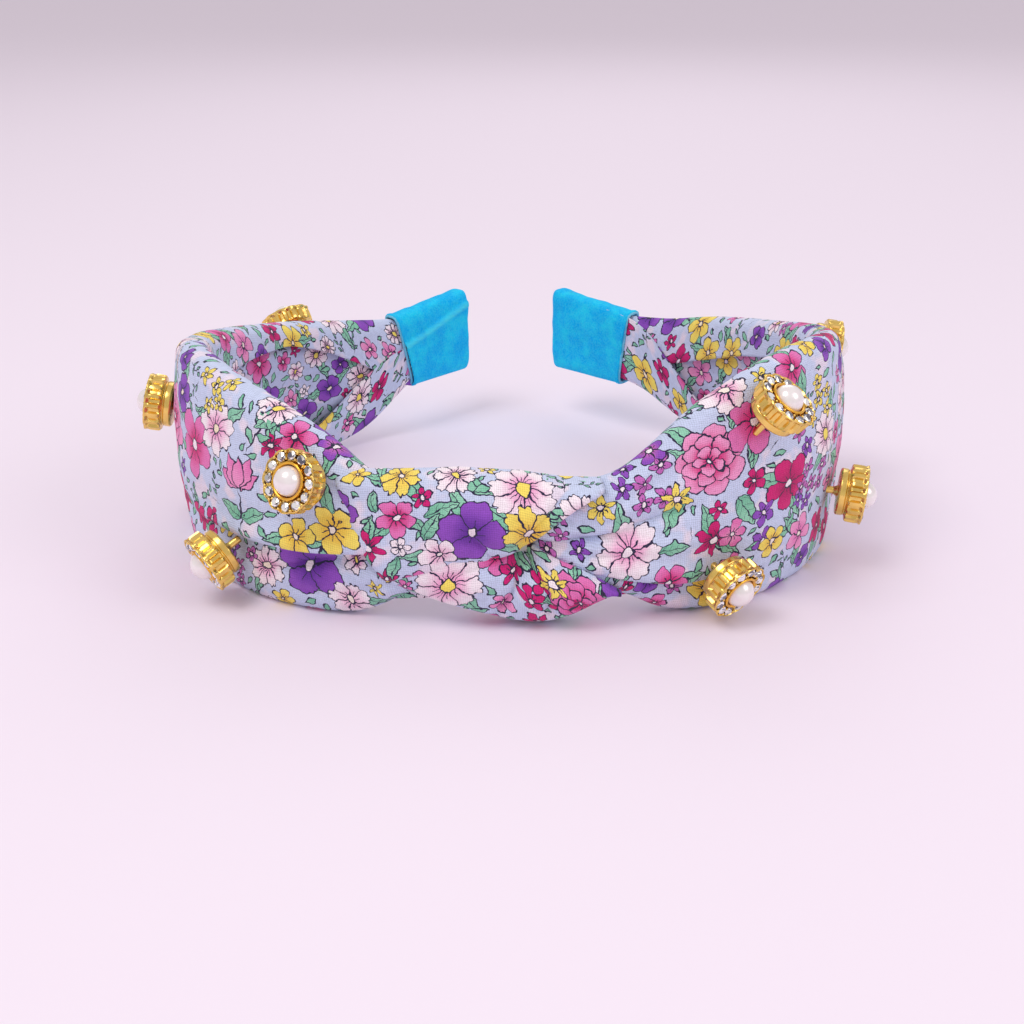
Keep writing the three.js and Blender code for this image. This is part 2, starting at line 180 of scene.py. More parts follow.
def add_light(name, spot, size, power, tint=(1, 1, 1)):
    data = bpy.data.lights.new(name, "AREA")
    data.shape = "DISK"
    data.size = size
    data.energy = power
    data.color = tint
    light = new_object(name, data)
    light.location = spot
    light.rotation_euler = (-Vector(spot)).to_track_quat("-Z", "Y").to_euler()


def make_studio():
    world = bpy.data.worlds.new("studio")
    world.use_nodes = True
    background = world.node_tree.nodes["Background"]
    background.inputs["Color"].default_value = (1.0, 0.96, 0.98, 1)
    background.inputs["Strength"].default_value = 0.66
    bpy.context.scene.world = world
    add_light("key", (-0.35, -0.35, 0.85), 0.5, 2.9, (1.0, 0.98, 0.96))
    add_light("fill", (0.6, -0.35, 0.5), 0.5, 1.2, (0.98, 0.98, 1.0))
    add_light("back", (0.1, 0.75, 0.6), 0.6, 0.9)
    floor_mesh = bpy.data.meshes.new("floor")
    corners = [(x * FLOOR_REACH, y * FLOOR_REACH, 0) for x, y in ((-1, -1), (1, -1), (1, 1), (-1, 1))]
    floor_mesh.from_pydata(corners, [], [(0, 1, 2, 3)])
    floor = new_object("floor", floor_mesh)
    material = bpy.data.materials.new("floor")
    material.use_nodes = True
    shader = material.node_tree.nodes["Principled BSDF"]
    shader.inputs["Base Color"].default_value = srgb(242, 230, 243)
    shader.inputs["Roughness"].default_value = 0.9
    floor_mesh.materials.append(material)
    bpy.context.scene.view_settings.view_transform = "Standard"


# ---- Node graphs ------------------------------------------------------------------------------


class Graph:
    """Short names for building a node tree."""

    def __init__(self, tree):
        self.tree = tree

    def node(self, kind, **settings):
        made = self.tree.nodes.new(kind)
        for key, value in settings.items():
            setattr(made, key, value)
        return made

    def feed(self, socket, value):
        if isinstance(value, bpy.types.NodeSocket):
            self.tree.links.new(value, socket)
        else:
            socket.default_value = value

    def math(self, operation, *values):
        made = self.node("ShaderNodeMath", operation=operation)
        for socket, value in zip(made.inputs, values):
            self.feed(socket, value)
        return made.outputs[0]

    def add(self, a, b):
        return self.math("ADD", a, b)

    def sub(self, a, b):
        return self.math("SUBTRACT", a, b)

    def mul(self, a, b):
        return self.math("MULTIPLY", a, b)

    def below(self, a, b):
        return self.math("LESS_THAN", a, b)

    def above(self, a, b):
        return self.math("GREATER_THAN", a, b)

    def either(self, *flags):
        result = flags[0]
        for flag in flags[1:]:
            result = self.math("MAXIMUM", result, flag)
        return result

    def ramp(self, value, low, high, start=0.0, end=1.0):
        made = self.node("ShaderNodeMapRange", interpolation_type="SMOOTHSTEP", clamp=True)
        for name, number in zip(("From Min", "From Max", "To Min", "To Max"), (low, high, start, end)):
            self.feed(made.inputs[name], number)
        self.feed(made.inputs["Value"], value)
        return made.outputs["Result"]

    def mix(self, share, a, b, blend="MIX"):
        made = self.node("ShaderNodeMix", data_type="RGBA", blend_type=blend)
        self.feed(made.inputs["Factor"], share)
        self.feed(made.inputs[6], a)
        self.feed(made.inputs[7], b)
        return made.outputs[2]

    def split(self, vector):
        made = self.node("ShaderNodeSeparateXYZ")
        self.feed(made.inputs[0], vector)
        return made.outputs

    def noise(self, vector, scale, detail=2.0, roughness=0.5):
        made = self.node("ShaderNodeTexNoise")
        if vector is not None:
            self.feed(made.inputs["Vector"], vector)
        made.inputs["Scale"].default_value = scale
        made.inputs["Detail"].default_value = detail
        made.inputs["Roughness"].default_value = roughness
        return made.outputs["Fac"]

    def bump(self, height, distance, normal=None):
        made = self.node("ShaderNodeBump")
        made.inputs["Distance"].default_value = distance
        self.feed(made.inputs["Height"], height)
        if normal is not None:
            self.feed(made.inputs["Normal"], normal)
        return made.outputs["Normal"]


def new_material(name, **sockets):
    """A material with its Principled shader's sockets set, and its graph."""
    material = bpy.data.materials.new(name)
    material.use_nodes = True
    shader = material.node_tree.nodes["Principled BSDF"]
    for key, value in sockets.items():
        shader.inputs[key.replace("_", " ")].default_value = value
    return material, Graph(material.node_tree), shader


# ---- Floral print -----------------------------------------------------------------------------

INK = srgb(50, 46, 74)
LINE = 0.135  # half the width of an outline
WOBBLE = 1.9  # how unevenly the outlines are drawn
PRINT_LAYERS = 7
FAR_AWAY = 5.0

PALETTE = {
    "pink": srgb(233, 122, 188), "rose": srgb(243, 158, 205), "magenta": srgb(214, 34, 120),
    "purple": srgb(148, 82, 194), "lilac": srgb(203, 112, 192), "yellow": srgb(252, 228, 108),
    "white": srgb(252, 240, 247), "leaf": srgb(160, 218, 190), "deep_leaf": srgb(122, 194, 162),
    "blush": srgb(245, 190, 218), "wine": srgb(176, 22, 96),
    "violet": srgb(104, 52, 160), "gold": srgb(244, 198, 78), "ink": INK,
}

# Petals, roundness, depth of the notches, share of the radius that the eye takes.
FLOWERS = {
    "five": (5, 2.4, 0.4, 0.15),
    "star": (6, 1.25, 0.56, 0.2),
    "floret": (5, 1.5, 0.5, 0.2),
    "daisy": (9, 3.0, 0.2, 0.2),
    "cosmos": (7, 2.8, 0.26, 0.16),
    "pansy": (4, 2.6, 0.3, 0.14),
    "rosette": (7, 2.2, 0.2, 0.1),
}


def motif_group():
    """Draws one flower or leaf from its local place and shape: a colour and a mask."""
    tree = bpy.data.node_groups.new("motif", "ShaderNodeTree")
    for name, kind in (("Place", "Vector"), ("Shape", "Vector"), ("Petal", "Color"),
                       ("Eye Size", "Float"), ("Throat", "Color"), ("Eye Warmth", "Float"),
                       ("Wobble", "Vector")):
        tree.interface.new_socket(name, in_out="INPUT", socket_type=f"NodeSocket{kind}")
    tree.interface.new_socket("Color", in_out="OUTPUT", socket_type="NodeSocketColor")
    tree.interface.new_socket("Mask", in_out="OUTPUT", socket_type="NodeSocketFloat")
    g = Graph(tree)
    given = g.node("NodeGroupInput").outputs
    flat_x, flat_y, size = g.split(given["Place"])
    wobble_x, wobble_y, _ = g.split(given["Wobble"])
    x = g.add(flat_x, g.math("DIVIDE", wobble_x, size))
    y = g.add(flat_y, g.math("DIVIDE", wobble_y, size))
    petals, round_, notch = g.split(given["Shape"])
    line = g.math("DIVIDE", LINE, size)
    wide_line = g.mul(line, 2.0)
    # Flower: a circle whose radius dips between petals.
    radius = g.math("SQRT", g.add(g.mul(x, x), g.mul(y, y)))
    turns = g.mul(g.math("DIVIDE", g.math("ARCTAN2", y, x), 2 * math.pi), petals)
    across = g.mul(g.math("ABSOLUTE", g.sub(g.math("FRACT", turns), 0.5)), 2.0)
    ruffle = g.math("ABSOLUTE", g.sub(g.math("FRACT", g.add(g.mul(turns, 3.0), 0.5)), 0.5))
    ruffle = g.mul(g.mul(ruffle, ruffle), g.ramp(round_, 2.45, 2.75, 0.0, 0.34))
    uneven = g.mul(g.math("SINE", g.add(g.math("ARCTAN2", y, x), g.mul(size, 7.0))), 0.05)
    limit = g.add(g.sub(0.95, g.mul(notch, g.math("POWER", across, round_))), g.sub(uneven, ruffle))
    inside = g.sub(limit, radius)
    arc = g.mul(g.math("DIVIDE", math.pi, g.math("MAXIMUM", petals, 1.0)), radius)
    past_eye = g.above(radius, given["Eye Size"])
    seam = g.mul(g.below(g.mul(g.sub(1.0, across), arc), line), past_eye)
    short = g.below(radius, g.add(given["Eye Size"], 0.24))
    stroke = g.mul(g.mul(g.below(g.mul(across, arc), g.mul(line, 0.55)), past_eye), short)
    ring = g.below(g.math("ABSOLUTE", g.sub(radius, given["Eye Size"])), line)
    flower_ink = g.either(g.below(inside, wide_line), seam, stroke, ring)
    ringed = g.mul(g.below(round_, 2.3), g.above(round_, 2.0))
    deepening = g.ramp(radius, g.add(0.12, g.mul(ringed, 0.2)), g.add(0.72, g.mul(ringed, 0.1)))
    petal_colour = g.mix(deepening, given["Throat"], given["Petal"])
    fold = g.mul(g.ramp(across, 0.45, 1.0), g.ramp(radius, 0.95, 0.3, 0.0, 0.55))
    petal_colour = g.mix(fold, petal_colour, given["Throat"])
    eye = g.mix(given["Eye Warmth"], PALETTE["white"], PALETTE["yellow"])
    flower = g.mix(past_eye, eye, petal_colour)
    # Leaf: a pointed oval along x, with a midrib and side veins where roundness says so.
    x_square = g.mul(x, x)
    half = g.mul(notch, g.mul(g.sub(1.0, x_square), g.sub(1.08, g.mul(x, 0.35))))
    height = g.math("ABSOLUTE", y)
    leaf_inside = g.sub(half, height)
    rib = g.mul(g.below(height, g.mul(line, 0.7)), g.below(x, 0.72))
    vein_turn = g.math("FRACT", g.sub(g.mul(x, 2.6), g.mul(height, 2.4)))
    vein = g.mul(g.below(vein_turn, g.mul(line, 1.9)), g.above(leaf_inside, g.mul(line, 3.4)))
    veins = g.mul(g.either(rib, vein), round_)
    leaf_ink = g.either(g.below(leaf_inside, wide_line), veins)
    leaf = g.mix(g.ramp(x, -1.0, 0.9), given["Throat"], given["Petal"])
    leaf = g.mix(g.mul(g.above(y, 0.0), 0.35), leaf, given["Throat"])
    # Which of the two.
    is_leaf = g.below(petals, 0.5)
    ink = g.mix(is_leaf, flower_ink, leaf_ink)
    fill = g.mix(is_leaf, flower, leaf)
    edge = g.mix(is_leaf, inside, leaf_inside)
    out = g.node("NodeGroupOutput")
    g.feed(out.inputs["Color"], g.mix(ink, fill, INK))
    g.feed(out.inputs["Mask"], g.above(edge, 0.0))
    return tree


def attribute(g, name):
    made = g.node("ShaderNodeAttribute", attribute_type="GEOMETRY")
    made.attribute_name = name
    return made.outputs


def cotton_material(name, ground, blush, group):
    """Printed plain-weave cotton. The print's layers come from the mesh's own attributes."""
    material, g, shader = new_material(
        name, Roughness=0.86, Sheen_Weight=0.12, Sheen_Roughness=0.5, Specular_IOR_Level=0.25,
    )
    cloth = attribute(g, "cloth_mm")["Vector"]
    colour = g.mix(g.ramp(g.noise(cloth, 0.17, 2), 0.52, 0.66), ground, blush)
    wander = g.node("ShaderNodeTexNoise")
    g.feed(wander.inputs["Vector"], cloth)
    wander.inputs["Scale"].default_value = 0.5
    shift = g.node("ShaderNodeVectorMath", operation="SUBTRACT")
    g.feed(shift.inputs[0], wander.outputs["Color"])
    shift.inputs[1].default_value = (0.5, 0.5, 0.5)
    wobble = g.node("ShaderNodeVectorMath", operation="SCALE")
    g.feed(wobble.inputs[0], shift.outputs[0])
    wobble.inputs["Scale"].default_value = WOBBLE
    for layer in range(PRINT_LAYERS):
        made = g.node("ShaderNodeGroup", node_tree=group)
        petal = attribute(g, f"petal_{layer}")
        throat = attribute(g, f"throat_{layer}")
        g.feed(made.inputs["Place"], attribute(g, f"place_{layer}")["Vector"])
        g.feed(made.inputs["Shape"], attribute(g, f"shape_{layer}")["Vector"])
        g.feed(made.inputs["Petal"], petal["Color"])
        g.feed(made.inputs["Eye Size"], petal["Alpha"])
        g.feed(made.inputs["Throat"], throat["Color"])
        g.feed(made.inputs["Eye Warmth"], throat["Alpha"])
        g.feed(made.inputs["Wobble"], wobble.outputs[0])
        colour = g.mix(made.outputs["Mask"], colour, made.outputs["Color"])
    weave = weave_height(g, cloth)
    worn = g.noise(cloth, 0.9, 4)
    # tone darkens the colour where the weave's height is low, in the hollows between the threads: painted
    # shade. worn adds random tone on top.
    tone = g.add(g.mul(weave, 0.3), g.ramp(worn, 0.3, 0.7, 0.76, 0.84))
    shade = g.node("ShaderNodeCombineColor")
    for socket in shade.inputs:
        g.feed(socket, tone)
    g.feed(shader.inputs["Base Color"], g.mix(1.0, colour, shade.outputs[0], "MULTIPLY"))
    fuzz = g.bump(g.noise(cloth, 2.2, 3), 0.00012)
    g.feed(shader.inputs["Normal"], g.bump(weave, 0.00009, fuzz))
    return material


THREAD = 0.4


def weave_height(g, cloth):
    """Threads over and under each other, a thread's width apart, with slubs."""
    u, v, _ = g.split(cloth)
    slub = g.mul(g.sub(g.noise(cloth, 0.7, 2), 0.5), 0.5)
    warp = g.math("ABSOLUTE", g.math("SINE", g.mul(g.add(u, slub), math.pi / THREAD)))
    weft = g.math("ABSOLUTE", g.math("SINE", g.mul(g.add(v, slub), math.pi / THREAD)))
    return g.mul(g.add(warp, weft), 0.5)


class Print:
    """The motifs printed on one piece of cloth, drawn in the order they were added."""

    def __init__(self):
        self.motifs = []

    def add(self, place, size, turn, shape, eye, petal, throat, warmth):
        self.motifs.append((place, size, turn, shape, eye, petal, throat, warmth))

    def flower(self, kind, place, size, petal, throat=None, turn=0, warmth=0.0):
        petals, round_, notch, eye = FLOWERS[kind]
        self.add(place, size, turn, (petals, round_, notch), eye, petal, throat or petal, warmth)

    def leaf(self, place, length, turn, colour="leaf", throat="deep_leaf", width=0.42, veins=1.0):
        self.add(place, length / 2, turn, (0, veins, width), 0.1, colour, throat, 0)

    def leaf_from(self, root, length, turn, **look):
        angle = math.radians(turn)
        middle = (root[0] + math.cos(angle) * length / 2, root[1] + math.sin(angle) * length / 2)
        self.leaf(middle, length, turn, **look)

    def stem(self, root, length, turn):
        self.leaf_from(root, length, turn, colour="ink", throat="ink", width=0.05, veins=0)

    def peony(self, place, size, petal="rose", throat="magenta", turn=0):
        self.flower("rosette", place, size, petal, throat, turn)
        self.flower("rosette", place, size * 0.72, petal, throat, turn + 26)
        self.flower("five", place, size * 0.44, petal, throat, turn + 8)

    def tulip(self, place, size, petal="pink", throat="rose"):
        x, y = place
        self.stem((x, y), size * 1.5, -90)
        for turn, length in ((142, 1.0), (38, 1.0), (112, 1.25), (68, 1.25), (90, 1.1)):
            self.leaf_from((x, y), size * length, turn, colour=petal, throat=throat, veins=0)
        for turn in (150, 28):
            self.leaf_from((x, y - size * 1.1), size * 1.15, turn)

    def spray(self, place, size, petal, count=5, spread=1.7, throat=None):
        """A cluster of small florets that touch each other."""
        for k in range(count):
            angle = k * 2.4 + place[0]
            reach = size * spread * (0 if k == 0 else 0.95 + 0.25 * (k % 2))
            spot = (place[0] + reach * math.cos(angle), place[1] + reach * math.sin(angle))
            tint = "purple" if petal == "lilac" and k % 3 == 1 else petal
            self.flower("floret", spot, size, tint, throat, turn=k * 31)

    def draw(self, rows, at=lambda x, y: (x, y)):
        """Adds listed motifs. at turns a row's two place numbers into a place on the cloth."""
        groups = {
            "peony": self.peony, "tulip": self.tulip, "spray": self.spray, "sprig": self.sprig,
            "leaf_from": self.leaf_from,
        }
        for kind, x, y, *rest in rows:
            if kind in FLOWERS:
                self.flower(kind, at(x, y), *rest)
            else:
                groups[kind](at(x, y), *rest)

    def foliage(self, seed):
        """Leaves that show past the petals of the larger flowers."""
        rng = np.random.default_rng(seed)
        leaves = Print()
        for place_, size, _, shape, *_ in self.motifs:
            if not shape[0] or size < 3.6:
                continue
            for turn in rng.uniform(0, 360) + np.array([0, rng.uniform(70, 200)]):
                leaves.leaf_from(place_, size + rng.uniform(3.0, 4.6), turn, width=0.3)
        self.motifs = leaves.motifs + self.motifs

    def fill(self, low, high, seed, gap=0.93):
        """Small flowers and leaves in the empty ground between the placed motifs."""
        rng = np.random.default_rng(seed)
        for size, tries in ((4.6, 260), (3.3, 800), (2.4, 1800), (1.8, 2400), (1.25, 2400)):
            for _ in range(tries):
                spot = rng.uniform(low, high)
                draw = rng.random(4)
                if all(math.dist(spot, m[0]) > (size + m[1] * reach_of(m)) * gap for m in self.motifs):
                    self.fill_one(tuple(spot), size, draw)

    def fill_one(self, spot, size, draw):
        turn = draw[1] * 360
        blooms = (
            ("five", "pink", "magenta", 0.0), ("cosmos", "white", "rose", 1.0),
            ("five", "magenta", "wine", 0.0), ("pansy", "purple", "violet", 0.3),
            ("daisy", "white", "blush", 1.0), ("five", "yellow", "gold", 0.4),
            ("five", "rose", "pink", 0.2),
        )
        if size > 3:
            kind, petal, throat, warmth = blooms[int(draw[0] * len(blooms))]
            self.flower(kind, spot, size * (0.95 if size > 4 else 0.9), petal, throat, turn, warmth)
        elif size > 2:
            if draw[0] < 0.6:
                small = ("yellow", "lilac", "purple", "magenta", "white", "pink")
                petal = small[int(draw[2] * len(small))]
                self.flower("star" if petal == "yellow" else "floret", spot, size * 0.95, petal, None, turn)
            else:
                self.sprig(spot, size * 1.8, turn)
        elif draw[0] < 0.85 or size < 1.5:
            self.leaf(spot, size * 1.9, turn, veins=0)
        else:
            self.stem(spot, size * 1.6, turn)

    def sprig(self, spot, length, turn):
        root = spot_at(spot, turn + 180, length / 2)
        self.stem(root, length, turn)
        for share, lean in ((0.25, 50), (0.45, -50), (0.7, 45), (0.95, 0)):
            self.leaf_from(spot_at(root, turn, length * share), length * 0.42, turn + lean, veins=0)

    def paint(self, mesh, cloth):
        """Writes each layer's attributes on the mesh's corners. cloth has each corner's place."""
        corners = np.zeros(len(mesh.loops), np.int32)
        mesh.loops.foreach_get("vertex_index", corners)
        flat = cloth.reshape(-1, 2)[corners]
        faces = flat.reshape(-1, 4, 2)
        middle = faces.mean(axis=1)
        reach = np.linalg.norm(faces - middle[:, None], axis=2).max(axis=1)
        used = np.zeros(len(faces), int)
        layers = blank_layers(len(faces))
        for motif in self.motifs:
            place_, size, turn, shape, eye, petal, throat, warmth = motif
            local = turned(faces - np.array(place_), -turn) / size
            span = (1.0, 1.0) if shape[0] else (1.0, 1.15 * shape[2])
            centre = turned(middle - np.array(place_), -turn) / size
            room = (reach + 0.35 * WOBBLE) / size
            hit = (abs(centre[:, 0]) < span[0] + room) & (abs(centre[:, 1]) < span[1] + room)
            if shape[0]:
                hit &= np.linalg.norm(centre, axis=1) < 1 + room
            face = np.flatnonzero(hit & (used < PRINT_LAYERS))
            layer = used[face]
            used[face] += 1
            layers["place"][layer, face, :, :2] = local[face]
            layers["place"][layer, face, :, 2] = size
            layers["shape"][layer, face] = shape
            layers["petal"][layer, face] = (*PALETTE[petal][:3], eye)
            layers["throat"][layer, face] = (*PALETTE[throat][:3], warmth)
        write_corners(mesh, "cloth_mm", "FLOAT_VECTOR", np.pad(flat, ((0, 0), (0, 1))))
        for number in range(PRINT_LAYERS):
            write_corners(mesh, f"place_{number}", "FLOAT_VECTOR", layers["place"][number])
            write_corners(mesh, f"shape_{number}", "FLOAT_VECTOR", layers["shape"][number])
            write_corners(mesh, f"petal_{number}", "FLOAT_COLOR", layers["petal"][number])
            write_corners(mesh, f"throat_{number}", "FLOAT_COLOR", layers["throat"][number])


def reach_of(motif):
    """How much of its radius a motif fills: a leaf is narrow."""
    return 0.9 if motif[3][0] else 0.62


def spot_at(root, turn, length):
    angle = math.radians(turn)
    return (root[0] + math.cos(angle) * length, root[1] + math.sin(angle) * length)


def turned(vectors, degrees):
    c, s = math.cos(math.radians(degrees)), math.sin(math.radians(degrees))
    x, y = vectors[..., 0], vectors[..., 1]
    return np.stack([x * c - y * s, x * s + y * c], -1)


def blank_layers(faces):
    """Attributes of layers that show nothing, for each layer, face and corner."""
    place_ = np.full((PRINT_LAYERS, faces, 4, 3), FAR_AWAY)
    place_[..., 2] = 1
    return {
        "place": place_, "shape": np.ones((PRINT_LAYERS, faces, 4, 3)),
        "petal": np.ones((PRINT_LAYERS, faces, 4, 4)), "throat": np.ones((PRINT_LAYERS, faces, 4, 4)),
    }


def write_corners(mesh, name, kind, values):
    made = mesh.attributes.new(name, kind, "CORNER")
    key = "color" if kind == "FLOAT_COLOR" else "vector"
    made.data.foreach_set(key, np.ascontiguousarray(values, np.float32).ravel())


# ---- Cloth meshes -----------------------------------------------------------------------------


def grid_object(name, points, wrap_rows=False):
    """A mesh of quads over a grid of points, facing out of the headband."""
    rows, columns = points.shape[:2]
    number = np.arange(rows * columns).reshape(rows, columns)
    if wrap_rows:
        number = np.vstack([number, number[:1]])
    quads = np.stack([number[:-1, :-1], number[1:, :-1], number[1:, 1:], number[:-1, 1:]], -1).reshape(-1, 4)
    mesh = bpy.data.meshes.new(name)
    mesh.vertices.add(rows * columns)
    mesh.vertices.foreach_set("co", points.reshape(-1, 3).astype(np.float32).ravel())
    mesh.loops.add(quads.size)
    mesh.loops.foreach_set("vertex_index", quads.ravel().astype(np.int32))
    mesh.polygons.add(len(quads))
    mesh.polygons.foreach_set("loop_start", np.arange(0, quads.size, 4, dtype=np.int32))
    mesh.update(calc_edges=True)
    mesh.shade_smooth()
    made = new_object(name, mesh)
    return made


def through(control, counts, soft):
    """Sections through control points: (stations, points, 2) with rows added and corners rounded."""
    parts = []
    for k, count in enumerate(counts):
        share = np.linspace(0, 1, count, endpoint=False)[None, :, None]
        parts.append(control[:, k : k + 1] * (1 - share) + control[:, k + 1 : k + 2] * share)
    parts.append(control[:, -1:])
    dense = np.concatenate(parts, axis=1)
    return blurred(dense.transpose(1, 0, 2), soft).transpose(1, 0, 2)


def groove(station, height, path, depth, width, fade=(0.0, 0.0)):
    """How far a crease pulls the cloth in: deepest along a path of (station, height) points."""
    path = np.array(path, float)
    spot = np.stack([station, height], -1)
    lengths = np.linalg.norm(np.diff(path, axis=0), axis=1)
    best = np.full(station.shape, 1e9)
    along = np.zeros(station.shape)
    start = 0.0
    for a, b, length in zip(path[:-1], path[1:], lengths):
        t = np.clip(((spot - a) @ (b - a)) / length**2, 0, 1)
        away = np.linalg.norm(spot - (a + t[..., None] * (b - a)), axis=-1)
        nearer = away < best
        best = np.where(nearer, away, best)
        along = np.where(nearer, start + t * length, along)
        start += length
    ends = np.ones(station.shape)
    if fade[0]:
        ends = ends * np.clip(along / fade[0], 0, 1)
    if fade[1]:
        ends = ends * np.clip((start - along) / fade[1], 0, 1)
    ends = ends * ends * (3 - 2 * ends)
    return depth * ends * np.exp(-((best / width) ** 1.4))


def crumple(points, size, depth, seed):
    """Soft random unevenness, the same each time."""
    flat = points.reshape(-1, 3)
    values = [noise.noise(Vector(p / (size * MM)) + Vector((seed, 0, 0))) for p in flat]
    return np.array(values).reshape(points.shape[:2]) * depth


def cloth_object(name, station, offset, height, uv, design, material, thickness):
    """A printed cloth piece from its grid, with its thickness inwards."""
    made = grid_object(name, place(station, offset, height))
    design.paint(made.data, uv)
    made.data.materials.append(material)
    thick = made.modifiers.new("thickness", "SOLIDIFY")
    thick.thickness = thickness * MM
    thick.offset = -1
    thick.use_even_offset = False
    return made


def arc_rows(offset, height, zero_row):
    """Distance along each section of the cloth, from a given row."""
    step = np.hypot(np.diff(offset, axis=1), np.diff(height, axis=1))
    run = np.concatenate([np.zeros((len(step), 1)), np.cumsum(step, axis=1)], axis=1)
    run = run - run[:, zero_row : zero_row + 1]
    return -run


# ---- Side covers ------------------------------------------------------------------------------

COVER_INNER_END = {"left": 19.0, "right": 2.5}
TOP = {
    "left": profile((16, 27), (24, 28), (29, 29.6), (33, 34.5), (44, 40.3), (54, 43.6), (70, 46.2),
                    (82, 46), (100, 43.2), (120, 39.6), (140, 36.2), (160, 32.8), (172, 31), (182, 30.2)),
    "right": profile((2, 24), (7, 28), (18, 28.6), (23, 30.6), (28, 35), (37, 42.4), (50, 48.2), (62, 50),
                     (75, 49.3), (90, 46.2), (110, 42.4), (130, 38.6), (150, 35.2), (164, 32.2), (182, 31)),
}
BOTTOM = {
    "left": profile((16, 8), (21, 6), (26, 2), (32, 0.4), (40, 0.1), (75, 0.1), (145, 0.4),
                    (160, 2), (168, 4.8), (174, 9.6), (179, 13.4), (182, 14.6)),
    "right": profile((2, 13.5), (8, 9.5), (14, 7), (20, 6), (24, 5.6), (27, 2.6), (31, 0.8), (38, 0.2),
                     (75, 0.2), (100, 0.8), (145, 4), (160, 8.8), (168, 13.2), (174, 15.2), (182, 15.6)),
}
BULGE = {
    "left": profile((16, 2.2), (28, 3.0), (44, 3.4), (56, 3.0), (72, 2.4), (130, 2.4),
                    (158, 1.4), (170, 0.6), (179, 0.3)),
    "right": profile((2, 2.6), (14, 3.2), (28, 3.2), (44, 3.4), (56, 2.9), (70, 2.2), (130, 2.2), (154, 1.4),
                     (164, 0.6), (179, 0.2)),
}
TOP_OFFSET = profile((2, 0.9), (150, 0.9), (164, 0.5), (179, 0.2))
BOTTOM_OFFSET = profile((2, 0.9), (34, 0.8), (52, -0.2), (140, -0.3), (164, 0.3), (179, 0.2))
FLAP_OFFSET = profile((2, -3.9), (60, -4.5), (150, -4.2), (162, -3.2), (168, -2.8), (179, -2.7))
# How deep each edge is folded in over the head side.
TOP_FLAP = {
    "left": profile((16, 7), (100, 11), (112, 10), (125, 6.8), (140, 4.6), (155, 7), (168, 11.5), (179, 18)),
    "right": profile((2, 6), (30, 8), (120, 8), (135, 8.2), (150, 10), (165, 11), (172, 10), (179, 7)),
}
BOTTOM_FLAP = {
    "left": profile((16, 6), (100, 6), (145, 6), (155, 9), (165, 14), (172, 14), (179, 10)),
    "right": profile((2, 5), (30, 6), (130, 6), (148, 7.5), (158, 11), (166, 15.5), (172, 17), (179, 17.4)),
}
# A fold of the cloth over itself that runs out of the knot.
FOLD_HEIGHT = {
    "left": profile((16, 17.6), (28, 17.6), (37, 17.6), (45, 17.4), (55, 16.5), (63, 15.2), (75, 13),
                    (100, 12), (140, 11), (160, 12.5), (170, 16), (179, 20)),
    "right": profile((2, 15), (14, 12), (23, 10.9), (30, 10.3), (38, 8.8), (60, 9.5), (145, 14),
                     (160, 17), (179, 20)),
}
FOLD_DEPTH = {
    "left": profile((16, 2.9), (40, 3.1), (56, 2.5), (66, 1.1), (76, 0), (179, 0), soft=4),
    "right": profile((2, 0), (17, 0.3), (23, 1.8), (31, 2.2), (38, 1.4), (46, 0), (179, 0), soft=3),
}
COVER_COUNTS = [9, 4, 4, 4, 7, 7, 7, 7, 3, 3, 3, 3, 3, 6, 6, 6, 4, 4, 4, 8]
COTTON_THICK = 0.45
COVER_STEP = 0.9

# Creases on each cover: path of (station, height), depth, width, fade at both ends.
CREASES = {
    "left": [
        ([(19, 13.4), (26, 14.2), (38, 11.8), (53, 6.6)], 1.9, 1.3, (0, 9)),
        ([(22, 25), (33, 28), (46, 33)], 0.7, 2.0, (3, 10)),
        ([(22, 21), (36, 22), (52, 21)], 0.5, 1.8, (2, 12)),
        ([(24, 7), (34, 5), (48, 4.5)], 0.9, 1.8, (2, 8)),
        ([(66, 9), (84, 14), (100, 24)], 0.6, 3.0, (8, 12)),
        ([(120, 30), (140, 24), (165, 20)], 0.8, 3.0, (10, 6)),
        ([(150, 10), (165, 15), (178, 20)], 0.7, 2.2, (6, 2)),
    ],
    "right": [
        ([(2, 17.2), (12, 18), (20, 19), (24, 20.7), (28, 21.7), (38, 24.5)], 2.6, 1.5, (0, 9)),
        ([(2, 18), (9, 23), (15, 27), (22, 31)], 1.3, 1.4, (0, 5)),
        ([(20, 18.6), (27, 18.2), (35, 19.4)], 0.6, 1.0, (4, 5)),
        ([(2, 16), (8, 14.6), (15, 14.5), (22, 15.6)], 0.9, 1.4, (0, 6)),
        ([(24, 28), (36, 35), (44, 41)], 0.6, 2.2, (4, 8)),
        ([(22, 7), (30, 6), (42, 4.5)], 0.9, 1.7, (2, 8)),
        ([(23, 25), (31, 29.5), (41, 35)], 0.5, 1.4, (3, 8)),
        ([(70, 8), (86, 15), (98, 26)], 0.6, 3.2, (8, 12)),
        ([(112, 34), (140, 27), (165, 24)], 0.9, 3.0, (10, 6)),
        ([(150, 14), (165, 19), (178, 24)], 0.7, 2.2, (6, 2)),
    ],
}


def face_offset(side, station, height):
    """How far out the cover's face stands, without its folds and creases."""
    low, high = BOTTOM[side](station), TOP[side](station)
    share = np.clip((height - low) / (high - low), 0, 1)
    edge = BOTTOM_OFFSET(station) * (1 - share) + TOP_OFFSET(station) * share
    return edge + BULGE[side](station) * np.sin(math.pi * share) ** 0.75


